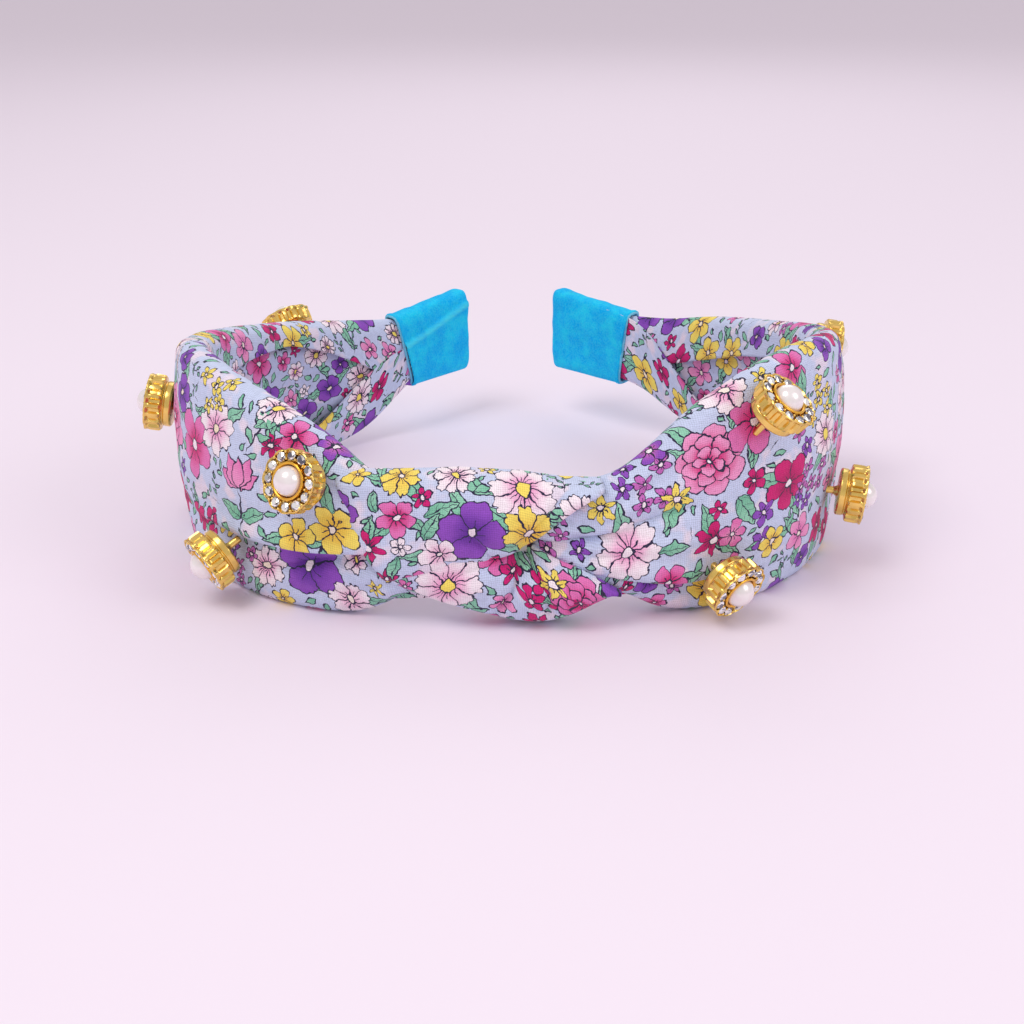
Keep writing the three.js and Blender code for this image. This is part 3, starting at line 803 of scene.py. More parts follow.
def cover_control(side, station):
    """The control points of the cover's section at each station, from the top flap's free edge
    over the top, down the face, round the bottom and up to the bottom flap's free edge."""
    high, low = TOP[side](station), BOTTOM[side](station)
    flap = FLAP_OFFSET(station)
    fold, depth = FOLD_HEIGHT[side](station), FOLD_DEPTH[side](station)
    over = (0.5 if side == "left" else -0.1) * np.clip((172 - station) / 12, 0, 1)
    top_flap, bottom_flap = flap - over, flap + over - 0.4

    def face(height):
        return face_offset(side, station, height)

    def upper(share):
        height = fold + 1.6 + (high - 1.8 - fold - 1.6) * share
        return face(height), height

    def lower(share):
        height = low + 1.8 + (fold - 1.8 - low - 1.8) * share
        return face(height) - 0.55 * depth * share**2, height

    rows = [
        (top_flap, high - TOP_FLAP[side](station)), (top_flap, high - 2.4),
        (top_flap + 0.9, high - 0.4), (-0.5 + 0 * station, high + 0.25), upper(1.0),
        upper(0.75), upper(0.5), upper(0.25), upper(0.0),
        (face(fold + 0.7) + 0.7 * depth, fold + 0.7 - 0.9 * depth),
        (face(fold) - 0.1 * depth, fold - 1.15 * depth),
        (face(fold) - 0.9 * depth, fold - 0.6 + 1.3 * depth),
        (face(fold) - 1.0 * depth, fold - 1.2 + 0.6 * depth),
        lower(1.0), lower(0.66), lower(0.33), lower(0.0),
        (-0.6 + 0 * station, low + 0.0 * station), (bottom_flap + 0.9, low + 0.3),
        (bottom_flap, low + 2.3), (bottom_flap, low + BOTTOM_FLAP[side](station)),
    ]
    return np.stack([np.stack(np.broadcast_arrays(*row), -1) for row in rows], axis=1)


KNOT_EYE = (1.7, 16.5)


def pinch(station, height, depth, reach):
    """The cloth drawn in at the knot's eye."""
    away = np.hypot(station - KNOT_EYE[0], height - KNOT_EYE[1])
    return depth * np.exp(-0.5 * (away / reach) ** 2)


def make_cover(side, material):
    sign = SIDES[side]
    along = np.arange(COVER_INNER_END[side], SLEEVE_START + 3.5, COVER_STEP)
    section = through(cover_control(side, along), COVER_COUNTS, 1.3)
    offset, height = section[..., 0], section[..., 1]
    station = np.repeat(along[:, None], offset.shape[1], axis=1)
    first_face, last_face = sum(COVER_COUNTS[:3]), sum(COVER_COUNTS[:17])
    on_face = np.zeros(offset.shape[1])
    on_face[first_face:last_face] = 1
    on_face = blurred(on_face[:, None], 2.0)[:, 0][None]
    pull = sum(groove(station, height, *crease) for crease in CREASES[side])
    if side == "right":
        pull = pull + pinch(station, height, 3.6, 2.8)
    zero = sum(COVER_COUNTS[:7])
    uv = np.stack([station * sign, arc_rows(offset, height, zero)], -1)
    gathers = np.clip((52 - station) / 30, 0, 1) ** 1.5
    share = (height - BOTTOM[side](station)) / (TOP[side](station) - BOTTOM[side](station))
    ripple = 0.28 * gathers * np.sin(2 * math.pi * 6.5 * share + 0.11 * station)
    rough = crumple(place(station * sign, offset, height), 11, 0.75, 3.1 * sign)
    rough += crumple(place(station * sign, offset, height), 5, 0.2, 7.3 * sign)
    offset = offset + on_face * (ripple + rough - pull)
    design = cover_print(side, uv, height, (first_face, last_face))
    made = cloth_object(f"cover_cloth_{side}", station * sign, offset, height, uv, design,
                        material, COTTON_THICK * sign)
    return made


def cover_print(side, uv, height, face_rows):
    """Motifs for a cover, placed by station and height on its outer face."""
    design = Print()
    first, last = face_rows
    columns = np.abs(uv[:, 0, 0])

    def at(station, z):
        column = int(np.argmin(np.abs(columns - station)))
        order = slice(first, last)
        across = np.interp(-z, -height[column, order], uv[column, order, 1])
        return (station * SIDES[side], float(across))

    design.draw(COVER_BLOOMS[side], at)
    low = (uv[..., 0].min(), uv[..., 1].min())
    high = (uv[..., 0].max(), uv[..., 1].max())
    design.fill(low, high, seed=11 if side == "left" else 23)
    design.foliage(seed=3)
    return design


# Motifs on each cover: a kind, its station and height, and what else that kind takes.
COVER_BLOOMS = {
    "left": [
        ("tulip", 53, 24.5, 6.0), ("five", 69, 29, 8.0, "pink", "magenta", 15),
        ("cosmos", 60, 35, 6.2, "white", "rose", 40, 0.4), ("spray", 61, 43, 2.2, "yellow", 5),
        ("five", 34, 35.5, 3.6, "purple", "lilac", 10), ("five", 41, 36.5, 4.0, "pink", "magenta", 40),
        ("star", 45.5, 34.5, 3.2, "magenta", "wine", 10),
        ("five", 33, 19.5, 5.6, "yellow", "gold", 20, 0.2),
        ("five", 40, 17.5, 4.2, "yellow", "gold", 50, 0.2),
        ("pansy", 39, 10.5, 7.4, "purple", "violet", 20), ("cosmos", 31, 4, 5.0, "white", "blush", 0, 0.2),
        ("daisy", 49, 8.5, 4.8, "white", "rose", 30, 0.3), ("spray", 57, 6.5, 2.2, "lilac", 5),
        ("sprig", 49, 36, 9, 60), ("leaf_from", 44, 40, 7, 215),
        ("daisy", 46, 41.5, 4.4, "white", "blush", 0, 1.0), ("leaf_from", 37, 26, 8, 90),
        ("peony", 86, 30, 8.4), ("five", 83, 14, 5.4, "magenta", "wine", 30),
        ("spray", 98, 12, 2.3, "lilac", 6), ("cosmos", 103, 34, 6.0, "white", "rose", 10, 1.0),
        ("pansy", 118, 22, 7.0, "purple", "violet", 35), ("peony", 135, 18, 7.6, "rose", "pink"),
        ("five", 150, 24, 5.6, "yellow", "gold", 0, 0.3),
    ],
    "right": [
        ("peony", 37.5, 32.5, 7.4), ("five", 47, 38.8, 6.8, "pink", "magenta", 30),
        ("five", 55.5, 24.5, 6.4, "magenta", "wine", 12), ("leaf_from", 43, 25, 9, -60),
        ("leaf_from", 33, 26.5, 8.5, -120), ("leaf_from", 38, 42, 8, 120),
        ("spray", 25, 28.5, 2.4, "lilac", 6), ("star", 31.5, 25.5, 3.4, "yellow", None, 10),
        ("star", 17, 24.5, 3.4, "yellow", None, 0), ("spray", 9.5, 19.5, 2.3, "lilac", 4),
        ("cosmos", 22, 15.8, 6.6, "white", "rose", 15), ("leaf_from", 27.5, 15.5, 6.5, 0),
        ("five", 30, 9, 4.2, "pink", "magenta", 20), ("star", 38.5, 16.5, 4.4, "magenta", "wine", 0),
        ("five", 42.5, 17, 3.4, "pink", "rose", 40), ("floret", 49.5, 20, 3.2, "purple", None, 0),
        ("floret", 49.5, 14, 3.0, "purple", None, 30), ("five", 52.5, 13, 4.0, "yellow", "gold", 0, 0.2),
        ("spray", 64, 22, 2.3, "lilac", 7), ("daisy", 68.5, 31, 5.4, "white", "blush", 0, 1.0),
        ("spray", 66, 39, 2.1, "yellow", 5), ("cosmos", 42, 45, 5.2, "white", "rose", 25, 0.2),
        ("five", 57, 47, 5.0, "pink", "magenta", 0), ("floret", 55, 41, 3.0, "purple", None, 0),
        ("leaf_from", 60, 40, 7, 90), ("five", 27, 38, 3.2, "purple", "lilac", 0),
        ("peony", 84, 20, 8.0, "rose", "magenta"), ("pansy", 99, 28, 7.0, "purple", "violet", 10),
        ("cosmos", 112, 16, 6.0, "white", "rose", 0, 1.0), ("five", 124, 28, 6.0, "pink", "magenta", 20),
        ("peony", 140, 22, 7.6), ("five", 157, 22, 5.2, "yellow", "gold", 30, 0.3),
    ],
}

# ---- Knot -------------------------------------------------------------------------------------

OVER_LOWER = profile((-34, 34), (-32.5, 31.7), (-30, 22), (-27.5, 15), (-23, 8.8), (-16.6, 10.9),
                     (-12.3, 12.8), (-4.3, 14.3), (1.8, 16.3), (5.5, 19), (9.5, 22.6), (13.5, 25.8),
                     (17.5, 28.6), soft=0.8)
OVER_TOP = profile((-34, 29.6), (-20, 30.6), (-9.5, 31.2), (2, 30.6), (10, 29.6), (17.5, 29.4))
OVER_EDGE = profile((-34, 3.6), (-24, 3.4), (-12, 2.6), (2, 2.2), (10, 2.6), (18, 3.4))
OVER_BULGE = profile((-34, 0.1), (-26, 0.9), (-16, 3.0), (-6, 4.6), (2, 5.0), (8, 4.4), (13, 3.2), (18, 1.2))
LOWER_TOP = profile((-24, 14), (-16, 15), (-8, 17), (-1, 18), (1.8, 17), (5, 15.8), (13.5, 12),
                    (19.5, 7.9), (21, 6.9), soft=0.8)
LOWER_BOTTOM = profile((-24, 7.6), (-20, 7.4), (-15, 5), (-8, 3.2), (0, 1.1), (6, 0.2),
                       (12, 1.6), (17.5, 5), (21, 6))
LOWER_BULGE = profile((-24, 1.4), (-15, 3.4), (-8, 4.4), (0, 4.4), (6, 4.8), (13, 4.4), (21, 2.6))
KNOT_FLAP = -4.0
LOWER_STEP = 0.75


def coons(c, v, top, right, bottom, left):
    """A patch between four edges, each a function from 0 to 1, all running the same way."""
    c, v = c[..., None], v[..., None]
    sides = (1 - v) * top(c) + v * bottom(c) + (1 - c) * left(v) + c * right(v)
    one, zero = np.ones_like(c), np.zeros_like(c)
    corners = (1 - c) * (1 - v) * top(zero) + c * (1 - v) * top(one)
    corners += (1 - c) * v * bottom(zero) + c * v * bottom(one)
    return sides - corners


def edge_line(*points):
    """An edge through given (station, height) points, evenly spaced."""
    points = np.array(points, float)
    run = np.concatenate([[0], np.cumsum(np.linalg.norm(np.diff(points, axis=0), axis=1))])
    run /= run[-1]
    return lambda t: np.stack([np.interp(t[..., 0], run, points[:, k]) for k in (0, 1)], -1)


def make_over_wrap(material):
    """The lobe that crosses the knot from the upper left and tucks in at its eye."""
    top = edge_line((-32.5, 29.6), (-20, 30.4), (-9.5, 31.0), (2, 30.3), (10, 29.0), (17.5, 28.6))
    left = edge_line((-32.5, 29.6), (-30.6, 23), (-28, 16), (-23, 8.9))
    bottom = edge_line((-23, 8.9), (-16.6, 10.9), (-12.3, 12.6), (-4.3, 14.1), (1.8, 16.0))
    right = edge_line((17.5, 28.6), (13.5, 25.8), (9.5, 22.6), (5.5, 19.0), (1.8, 16.0))
    c, v = np.meshgrid(np.linspace(0, 1, 62), np.linspace(0, 1, 44), indexing="ij")
    patch = coons(c, v, top, right, bottom, left)
    station, height = patch[..., 0], patch[..., 1]
    floor_, ceiling = OVER_LOWER(station), OVER_TOP(station)
    share = np.clip((height - floor_) / np.maximum(ceiling - floor_, 1), 0, 1)
    offset = OVER_EDGE(station) + OVER_BULGE(station) * np.sin(math.pi * (0.04 + 0.94 * share)) ** 0.7
    pull = sum(groove(station, height, *crease) for crease in OVER_CREASES)
    offset = offset - pull
    offset = offset + crumple(place(station, offset, height), 9, 0.6, 1.7)
    tuck = np.clip((v - 0.93) / 0.07, 0, 1) ** 2
    tuck_right = np.clip((c - 0.95) / 0.05, 0, 1) ** 2 * np.clip(v * 3, 0, 1)
    offset = offset - 3.0 * np.maximum(tuck, tuck_right)
    offset = offset - 0.5 * np.clip((0.05 - c) / 0.05, 0, 1)
    # Rows that roll over the top and lie against the head side.
    roll = [(0.35, 0.65), (-0.9, 0.75), (-2.6, 0.35), (KNOT_FLAP, -1.2), (KNOT_FLAP, -3.0),
            (KNOT_FLAP, -5.0), (KNOT_FLAP, -7.0), (KNOT_FLAP, -9.0)]
    extra_offset = np.stack([np.full(len(c), a) for a, _ in roll[::-1]], 1)
    extra_height = height[:, :1] + np.array([b for _, b in roll[::-1]])[None]
    station = np.concatenate([np.repeat(station[:, :1], len(roll), axis=1), station], axis=1)
    offset = np.concatenate([extra_offset, offset], axis=1)
    height = np.concatenate([extra_height, height], axis=1)
    smooth = blurred(np.stack([offset, height], -1)[:, :16].transpose(1, 0, 2), 0.9).transpose(1, 0, 2)
    offset[:, :13], height[:, :13] = smooth[:, :13, 0], smooth[:, :13, 1]
    pull = np.pad(pull, ((0, 0), (len(roll), 0)))
    uv = np.stack([station, arc_rows(offset + pull, height, len(roll))], -1)
    made = cloth_object("knot_over_wrap_cloth", station, offset, height, uv, over_print(), material,
                        COTTON_THICK)
    return made


OVER_CREASES = [
    ([(2, 17), (-6, 19), (-14, 22)], 0.8, 1.5, (0, 8)),
    ([(3, 18), (0, 24), (-6, 29)], 0.6, 1.6, (0, 7)),
    ([(-20, 11), (-22, 18), (-24, 27)], 0.5, 1.8, (4, 6)),
    ([(-3, 14.6), (-6.5, 20), (-9, 26)], 0.9, 0.9, (0, 6)),
    ([(-10, 14), (-15, 19), (-18, 25)], 0.6, 1.2, (0, 6)),
    ([(1.5, 17.5), (4.5, 22), (8, 26), (12, 29.5)], 1.5, 1.2, (0, 4)),
]


# Motifs on the over wrap, by station and by distance down from its top edge.
OVER_BLOOMS = [
    ("pansy", -6.7, -10.6, 6.9, "purple", "violet", 35), ("five", -20.5, -7.6, 4.3, "pink", "magenta", 20),
    ("daisy", 2.5, -2, 6.8, "white", "rose", 0, 1.0),
    ("cosmos", 3.5, -9.8, 5.6, "yellow", "gold", 20, 0.1), ("leaf_from", -15.5, -7.5, 7, 20),
    ("leaf_from", -16, -12.5, 6.5, 60), ("five", -13, -15.5, 4.2, "white", "blush", 10, 0.1),
    ("star", -26, -13.5, 3.6, "magenta", "wine", 15), ("floret", -23, -20, 2.8, "magenta", "wine", 50),
    ("cosmos", -20, 0.5, 4.2, "yellow", "gold", 0, 0.2), ("leaf_from", -20.5, -15, 5.5, -110),
    ("leaf_from", -24.8, -7, 5, 95), ("floret", -1.5, -17.5, 2.5, "magenta", None, 20),
]


def over_print():
    design = Print()
    design.draw(OVER_BLOOMS)
    design.fill((-34, -30), (14, 14), seed=5)
    design.foliage(seed=4)
    return design


def make_lower_wrap(material):
    """The lobes that come out under the over wrap and roll round the knot's lower edge."""
    along = np.arange(-23.5, 20.8, LOWER_STEP)
    low, high = LOWER_BOTTOM(along), LOWER_TOP(along)
    bulge = LOWER_BULGE(along)
    right_part = np.clip((along - 1) / 4, 0, 1)
    edge_top = 1.6 + 2.9 * right_part
    rows = [(edge_top - 1.8, high - 1.2), (edge_top - 0.9, high + 0.5), (edge_top, high)]
    for share in (0.8, 0.6, 0.4, 0.2):
        height = low + 1.8 + (high - low - 1.8) * share
        rise = np.sin(math.pi * (0.12 + 0.76 * share)) ** 0.7
        rows.append((1.3 + bulge * rise + (edge_top - 1.6) * share * 0.5, height))
    rows += [
        (1.5 + 0.45 * bulge, low + 1.5), (0.4 + 0 * along, low + 0.1), (-1.6 + 0 * along, low + 0.0),
        (KNOT_FLAP + 0.6 + 0 * along, low + 0.8), (KNOT_FLAP + 0 * along, low + 2.6),
        (KNOT_FLAP + 0 * along, low + 7.0),
    ]
    control = np.stack([np.stack(row, -1) for row in rows], axis=1)
    counts = [3, 3, 5, 7, 7, 7, 6, 4, 4, 4, 4, 6]
    section = through(control, counts, 1.2)
    offset, height = section[..., 0], section[..., 1]
    station = np.repeat(along[:, None], offset.shape[1], axis=1)
    uv = np.stack([station, arc_rows(offset, height, 0)], -1)
    face = np.zeros(offset.shape[1])
    face[: sum(counts[:7])] = 1
    face = blurred(face[:, None], 2.0)[:, 0][None]
    pull = pinch(station, height, 3.4, 2.8)
    for path, depth, width, fade in LOWER_CREASES:
        pull = pull + groove(station, height, path, depth, width, fade)
    rough = crumple(place(station, offset, height), 8, 0.6, 4.4)
    offset = offset + face * (rough - pull)
    made = cloth_object("knot_under_wrap_cloth", station, offset, height, uv, lower_print(), material,
                        COTTON_THICK)
    return made


LOWER_CREASES = [
    ([(1.6, 16), (0.9, 9), (-4.5, 0.5)], 2.3, 1.2, (0, 0)),
    ([(2.4, 16), (6.9, 9), (7.4, 2)], 1.9, 1.1, (0, 3)),
    ([(1, 15.5), (-8, 12.5), (-16, 10)], 1.0, 1.4, (0, 6)),
    ([(3, 15.6), (9, 11.5), (13, 7)], 0.8, 1.0, (0, 4)),
    ([(-1, 12), (-5, 7), (-12, 4.5)], 0.7, 1.5, (3, 5)),
]


# Motifs on the lower lobes, by station and by distance down from their upper edge.
LOWER_BLOOMS = [
    ("daisy", -11.5, -10.5, 7.2, "white", "rose", 10, 1.0),
    ("five", -2.8, -6.5, 3.8, "pink", "magenta", 20), ("spray", 4, -12, 2.8, "magenta", 5),
    ("peony", 13, -9, 6.2, "pink", "magenta"), ("star", 8.2, -7, 3.4, "yellow", None, 0),
    ("leaf_from", 9, -17, 7, 20), ("leaf_from", -17, -5, 6, 70),
]


def lower_print():
    design = Print()
    design.draw(LOWER_BLOOMS)
    design.fill((-26, -40), (23, 6), seed=8)
    design.foliage(seed=6)
    return design


# ---- Lining -----------------------------------------------------------------------------------

HOOP_MIDDLE = profile((0, 15.5), (60, 21), (150, 20.5), (178, 21.4), (204, 22.5))
HOOP_HALF = profile((0, 10), (60, 10), (150, 7), (178, 6.3), (204, 6.3))
LINING_STEP = 1.3
LINING_THICK = 0.35


def make_lining(side, material):
    """The cloth on the head side: over the hoop, and hollow above and below it."""
    sign = SIDES[side]
    along = np.arange(0.0, SLEEVE_START - 0.5, LINING_STEP)
    front = np.clip((along - 16) / 12, 0, 1)
    high = (1 - front) * 30.0 + front * TOP[side](np.maximum(along, 20)) - 1.6
    low = (1 - front) * 2.6 + front * BOTTOM[side](np.maximum(along, 27)) + 1.2
    rows = np.linspace(0, 1, 46)
    height = high[:, None] + (low - high)[:, None] * rows[None]
    station = np.repeat(along[:, None], len(rows), axis=1)
    face = face_offset(side, np.maximum(station, 20), height)
    beside = np.abs(height - HOOP_MIDDLE(station)) - HOOP_HALF(station) - 1.0
    free = np.clip(beside / 6.0, 0, 1) ** 1.3
    free = free * np.clip((station - 26) / 20, 0, 1)
    offset = -2.25 * (1 - free) + (face - 1.6) * free
    gathers = np.clip(1 - np.abs(station - 30) / 30, 0, 1)
    offset = offset - 0.35 * gathers * (1 + np.sin(height * 1.5 + 0.2 * station)) / 2
    loose = np.clip((172 - station) / 14, 0.2, 1)
    offset = offset - loose * np.abs(crumple(place(station * sign, offset, height), 9, 0.8, 9.2 * sign))
    uv = np.stack([station * sign, height * 1.12 - 20], -1)
    design = Print()
    design.draw(LINING_BLOOMS[side])
    design.fill((uv[..., 0].min(), -22), (uv[..., 0].max(), 36), seed=31 if side == "left" else 47)
    design.foliage(seed=7)
    made = cloth_object(f"lining_cloth_{side}", station * sign, offset, height, uv, design, material,
                        LINING_THICK * sign)
    return made


# Motifs on each lining: a kind, its place on the cloth, and what else that kind takes.
LINING_BLOOMS = {
    "left": [
        ("cosmos", -118, 8, 8.4, "white", "magenta", 20), ("five", -112, 14, 5.2, "magenta", "wine", 0),
        ("five", -131, 12, 5.6, "pink", "magenta", 35), ("five", -136, 18, 3.8, "yellow", "gold", 0),
        ("cosmos", -124, -5, 5.4, "white", "blush", 0, 1.0),
        ("pansy", -134, 1, 4.6, "purple", "violet", 20),
    ],
    "right": [
        ("five", 126, 10, 6.2, "magenta", "wine", 0), ("five", 137, 4, 5.0, "pink", "magenta", 30),
        ("five", 144, 9, 4.4, "yellow", "gold", 0), ("pansy", 116, 16, 5.4, "purple", "violet", 10),
    ],
}

# ---- Velvet sleeves ---------------------------------------------------------------------------

VELVET_OUT = 1.3
VELVET_IN = -3.75
VELVET_HALF, VELVET_CENTRE = (VELVET_OUT - VELVET_IN) / 2, (VELVET_OUT + VELVET_IN) / 2
EDGE_POWER = 0.3  # how square the sleeve's edges are
VELVET_THICK = 0.5
SEAM_LAP, SEAM_RIDGE = 0.7, 0.4
HEM_ROLL = 0.36
# Where the sleeve begins at its bottom and top edge, and its heights at the start and the tip.
VELVET_START = {"left": (2.6, -2.0), "right": (-1.2, -3.6)}
VELVET_LOW = {"left": (13.2, 13.4), "right": (14.3, 13.8)}
VELVET_HIGH = {"left": (31.6, 34.2), "right": (32.5, 34.2)}
# The lapped seam on the left sleeve's head side, as shares of the half height.
SEAM_RISE = {"left": (0.22, 0.78), "right": (2.0, 2.0)}


def velvet_ring(side, share, around):
    """Station, offset and height round the sleeve at a share of the way to the tip."""
    low, high = (a + (b - a) * share for a, b in (VELVET_LOW[side], VELVET_HIGH[side]))
    middle, half = (low + high) / 2, (high - low) / 2
    tip = np.clip((share - 0.94) / 0.06, 0, 1)
    shrink = np.sqrt(np.clip(1 - tip**2, 0.0, 1))
    c, s = np.cos(around), np.sin(around)
    offset = VELVET_CENTRE + VELVET_HALF * np.sign(c) * np.abs(c) ** 0.55 * (0.1 + 0.9 * shrink)
    upright = np.sign(s) * np.abs(s) ** EDGE_POWER
    height = middle + (half - 1.0 * (1 - shrink)) * upright
    start_low, start_high = VELVET_START[side]
    start = SLEEVE_START + start_low + (start_high - start_low) * (upright + 1) / 2
    return start + (TIP_END - start) * share, offset, height, upright


def around_sleeve():
    """Angles that are evenly spaced over the sleeve's faces and round its edges."""
    turn = math.asin(0.9 ** (1 / EDGE_POWER))
    face = np.arcsin(np.linspace(0, 0.9, 16, endpoint=False) ** (1 / EDGE_POWER))
    quarter = np.concatenate([face, np.linspace(turn, math.pi / 2, 12)])
    whole = np.concatenate([quarter, math.pi - quarter, math.pi + quarter, 2 * math.pi - quarter])
    whole = np.unique(np.round(whole, 7))
    return whole[whole < 2 * math.pi - 1e-4]


def make_velvet(side, material):
    """A soft rounded sleeve round the tip, with a lapped seam on its head side."""
    sign = SIDES[side]
    rounding = np.sin(np.linspace(0.15, 1, 9) * math.pi / 2)
    share = np.concatenate([np.linspace(0, 0.94, 60), 0.94 + 0.06 * rounding])
    around = around_sleeve()
    share_grid, around_grid = np.meshgrid(share, around, indexing="ij")
    station, offset, height, upright = velvet_ring(side, share_grid, around_grid)
    inner = np.clip((VELVET_CENTRE - offset) / VELVET_HALF, 0, 1)
    first, last = SEAM_RISE[side]
    past_seam = (upright - (first + (last - first) * share_grid)) * 9.5
    lap = 1 / (1 + np.exp(past_seam / 0.22))
    ridge = np.exp(-(((past_seam + 0.5) / 0.4) ** 2)) * (side == "left")
    offset = offset - inner * (SEAM_LAP * lap * (side == "left") + SEAM_RIDGE * ridge)
    hem = np.exp(-(((station - station[:1] - 0.5) / 0.5) ** 2))
    puff = crumple(place(station * sign, offset, height), 6, 0.5, 2.0 + sign)
    puff += crumple(place(station * sign, offset, height), 2.5, 0.16, 5.0 + sign)
    offset = offset + np.where(offset > VELVET_CENTRE, 1, -1) * (puff + 0.22 * hem)
    height = height + 0.5 * puff + 0.2 * hem * np.sign(upright)
    points = place(station * sign, offset, height)
    cap = points[-1:].mean(axis=1, keepdims=True).repeat(points.shape[1], axis=1)
    points = np.concatenate([points, points[-1:] * 0.5 + cap * 0.5, cap * 0.999 + points[-1:] * 0.001])
    points = points.transpose(1, 0, 2)
    # A pale line along the left seam's ridge, where it catches the light: painted highlight.
    seam_highlight = np.pad(inner * ridge * 0.8, ((0, 2), (0, 0))).T
    if sign < 0:
        points, seam_highlight = points[::-1], seam_highlight[::-1]
    made = grid_object(f"velvet_cloth_{side}", points, wrap_rows=True)
    made.data.attributes.new("seam_highlight", "FLOAT", "POINT").data.foreach_set("value", seam_highlight.ravel())
    made.data.materials.append(material)
    thick_mod = made.modifiers.new("thickness", "SOLIDIFY")
    thick_mod.thickness = VELVET_THICK * MM
    thick_mod.offset = -1
    return made


def make_hem(side, material):
    """The folded edge of the velvet, as a thin roll round the sleeve's near end."""
    sign = SIDES[side]
    around = np.linspace(0, 2 * math.pi, 120, endpoint=False)
    station, offset, height, _ = velvet_ring(side, np.zeros(120), around)
    middle_offset, middle_height = offset.mean(), height.mean()
    out = np.stack([offset - middle_offset, (height - middle_height) * 0.25], -1)
    out /= np.linalg.norm(out, axis=1)[:, None]
    turn = np.linspace(0, 2 * math.pi, 10)
    points = place(
        sign * (station[:, None] - 0.1 + HEM_ROLL * np.cos(turn)[None]),
        offset[:, None] + out[:, :1] * (0.12 + HEM_ROLL * np.sin(turn)[None]),
        height[:, None] + out[:, 1:] * (0.12 + HEM_ROLL * np.sin(turn)[None]),
    )
    made = grid_object(f"velvet_hem_painted_highlight_{side}", points if sign > 0 else points[::-1], wrap_rows=True)
    made.data.materials.append(material)
    return made


def velvet_material(name, dark, light, glint):
    material, g, shader = new_material(
        name, Roughness=0.95, Sheen_Weight=0.35, Sheen_Roughness=0.35,
        Sheen_Tint=srgb(90, 215, 255), Specular_IOR_Level=0.1,
    )
    where = g.node("ShaderNodeTexCoord").outputs["Object"]
    # nap varies the pile's colour at random. Fine specks are mixed towards the glint colour: painted
    # highlight.
    nap = g.ramp(g.noise(where, 230, 4, 0.6), 0.36, 0.68)
    glint_specks = g.ramp(g.noise(where, 2400, 2), 0.3, 0.7)
    colour = g.mix(g.mul(glint_specks, 0.3), g.mix(nap, dark, light), glint)
    # The seam's ridge is mixed towards the glint colour: painted highlight.
    colour = g.mix(attribute(g, "seam_highlight")["Fac"], colour, glint)
    g.feed(shader.inputs["Base Color"], colour)
    g.feed(shader.inputs["Normal"], g.bump(g.noise(where, 3200, 2), 0.0003))
    return material


# ---- Jewelled buttons -------------------------------------------------------------------------

BUTTONS = (
    "front_left", "low_left", "side_left", "back_left",
    "low_right", "high_right", "side_right", "back_right",
)
STONES = 12
FLUTES = 18
PLATE_TOP = 2.3
PEARL_HEIGHT = 5.45
PEARL_RADIUS = 2.95
STONE_CIRCLE = 4.93
STONE_RADIUS = 1.06
SHANK_SINK = 1.6  # how far the shank goes on into the cloth


def revolve(profile_points, segments, ripple=None):
    """Vertices and quads of a closed turned ring or cap: ripple(angle, radius, height) -> radius."""
    angles = np.linspace(0, 2 * math.pi, segments, endpoint=False)
    vertices, faces = [], []
    for angle in angles:
        for radius, height in profile_points:
            r = ripple(angle, radius, height) if ripple else radius
            vertices.append((r * math.cos(angle), r * math.sin(angle), height))
    count = len(profile_points)
    for k in range(segments):
        for i in range(count - 1):
            a, b = k * count + i, ((k + 1) % segments) * count + i
            faces.append((a, b, b + 1, a + 1))
    return vertices, faces


def joined(parts):
    """Several (vertices, faces) as one."""
    vertices, faces = [], []
    for more_vertices, more_faces in parts:
        start = len(vertices)
        vertices += list(more_vertices)
        faces += [tuple(i + start for i in face) for face in more_faces]
    return vertices, faces


def small_mesh(name, vertices, faces, material, smooth=True, sharp_degrees=35):
    mesh = bpy.data.meshes.new(name)
    mesh.from_pydata([tuple(c * MM for c in v) for v in vertices], [], faces)
    work = bmesh.new()
    work.from_mesh(mesh)
    bmesh.ops.remove_doubles(work, verts=work.verts, dist=1e-6)
    bmesh.ops.recalc_face_normals(work, faces=work.faces)
    for edge in work.edges:
        edge.smooth = len(edge.link_faces) != 2 or edge.calc_face_angle(0) < math.radians(sharp_degrees)
    work.to_mesh(mesh)
    work.free()
    for polygon in mesh.polygons:
        polygon.use_smooth = smooth
    mesh.materials.append(material)
    return mesh


def rounded(points, corner=0.18, steps=3):
    """A turned profile with its inner corners rounded."""
    points = np.array(points, float)
    out = [tuple(points[0])]
    for before, here, after in zip(points[:-2], points[1:-1], points[2:]):
        a, b = before - here, after - here
        reach = min(corner, np.linalg.norm(a) * 0.45, np.linalg.norm(b) * 0.45)
        start, end = here + a / np.linalg.norm(a) * reach, here + b / np.linalg.norm(b) * reach
        for t in np.linspace(0, 1, steps + 1):
            out.append(tuple((1 - t) ** 2 * start + 2 * t * (1 - t) * here + t**2 * end))
    out.append(tuple(points[-1]))
    return out


def plate_parts():
    """The plain gold base, turned with a groove near its top."""
    outline = rounded([
        (0, 0.3), (4.6, 0.3), (4.95, 0.6), (4.95, 1.75), (4.75, 1.95),
        (4.75, 2.15), (5.1, 2.4), (5.1, 2.7), (0, 2.7),
    ], 0.16)
    return revolve(outline, 72)


def shank_parts(foot):
    """The gold shank between the cloth and the base."""
    outline = rounded([(0, foot), (0.8, foot), (0.75, -0.6), (1.3, 0.35), (0, 0.35)], 0.3)
    return revolve(outline, 24)


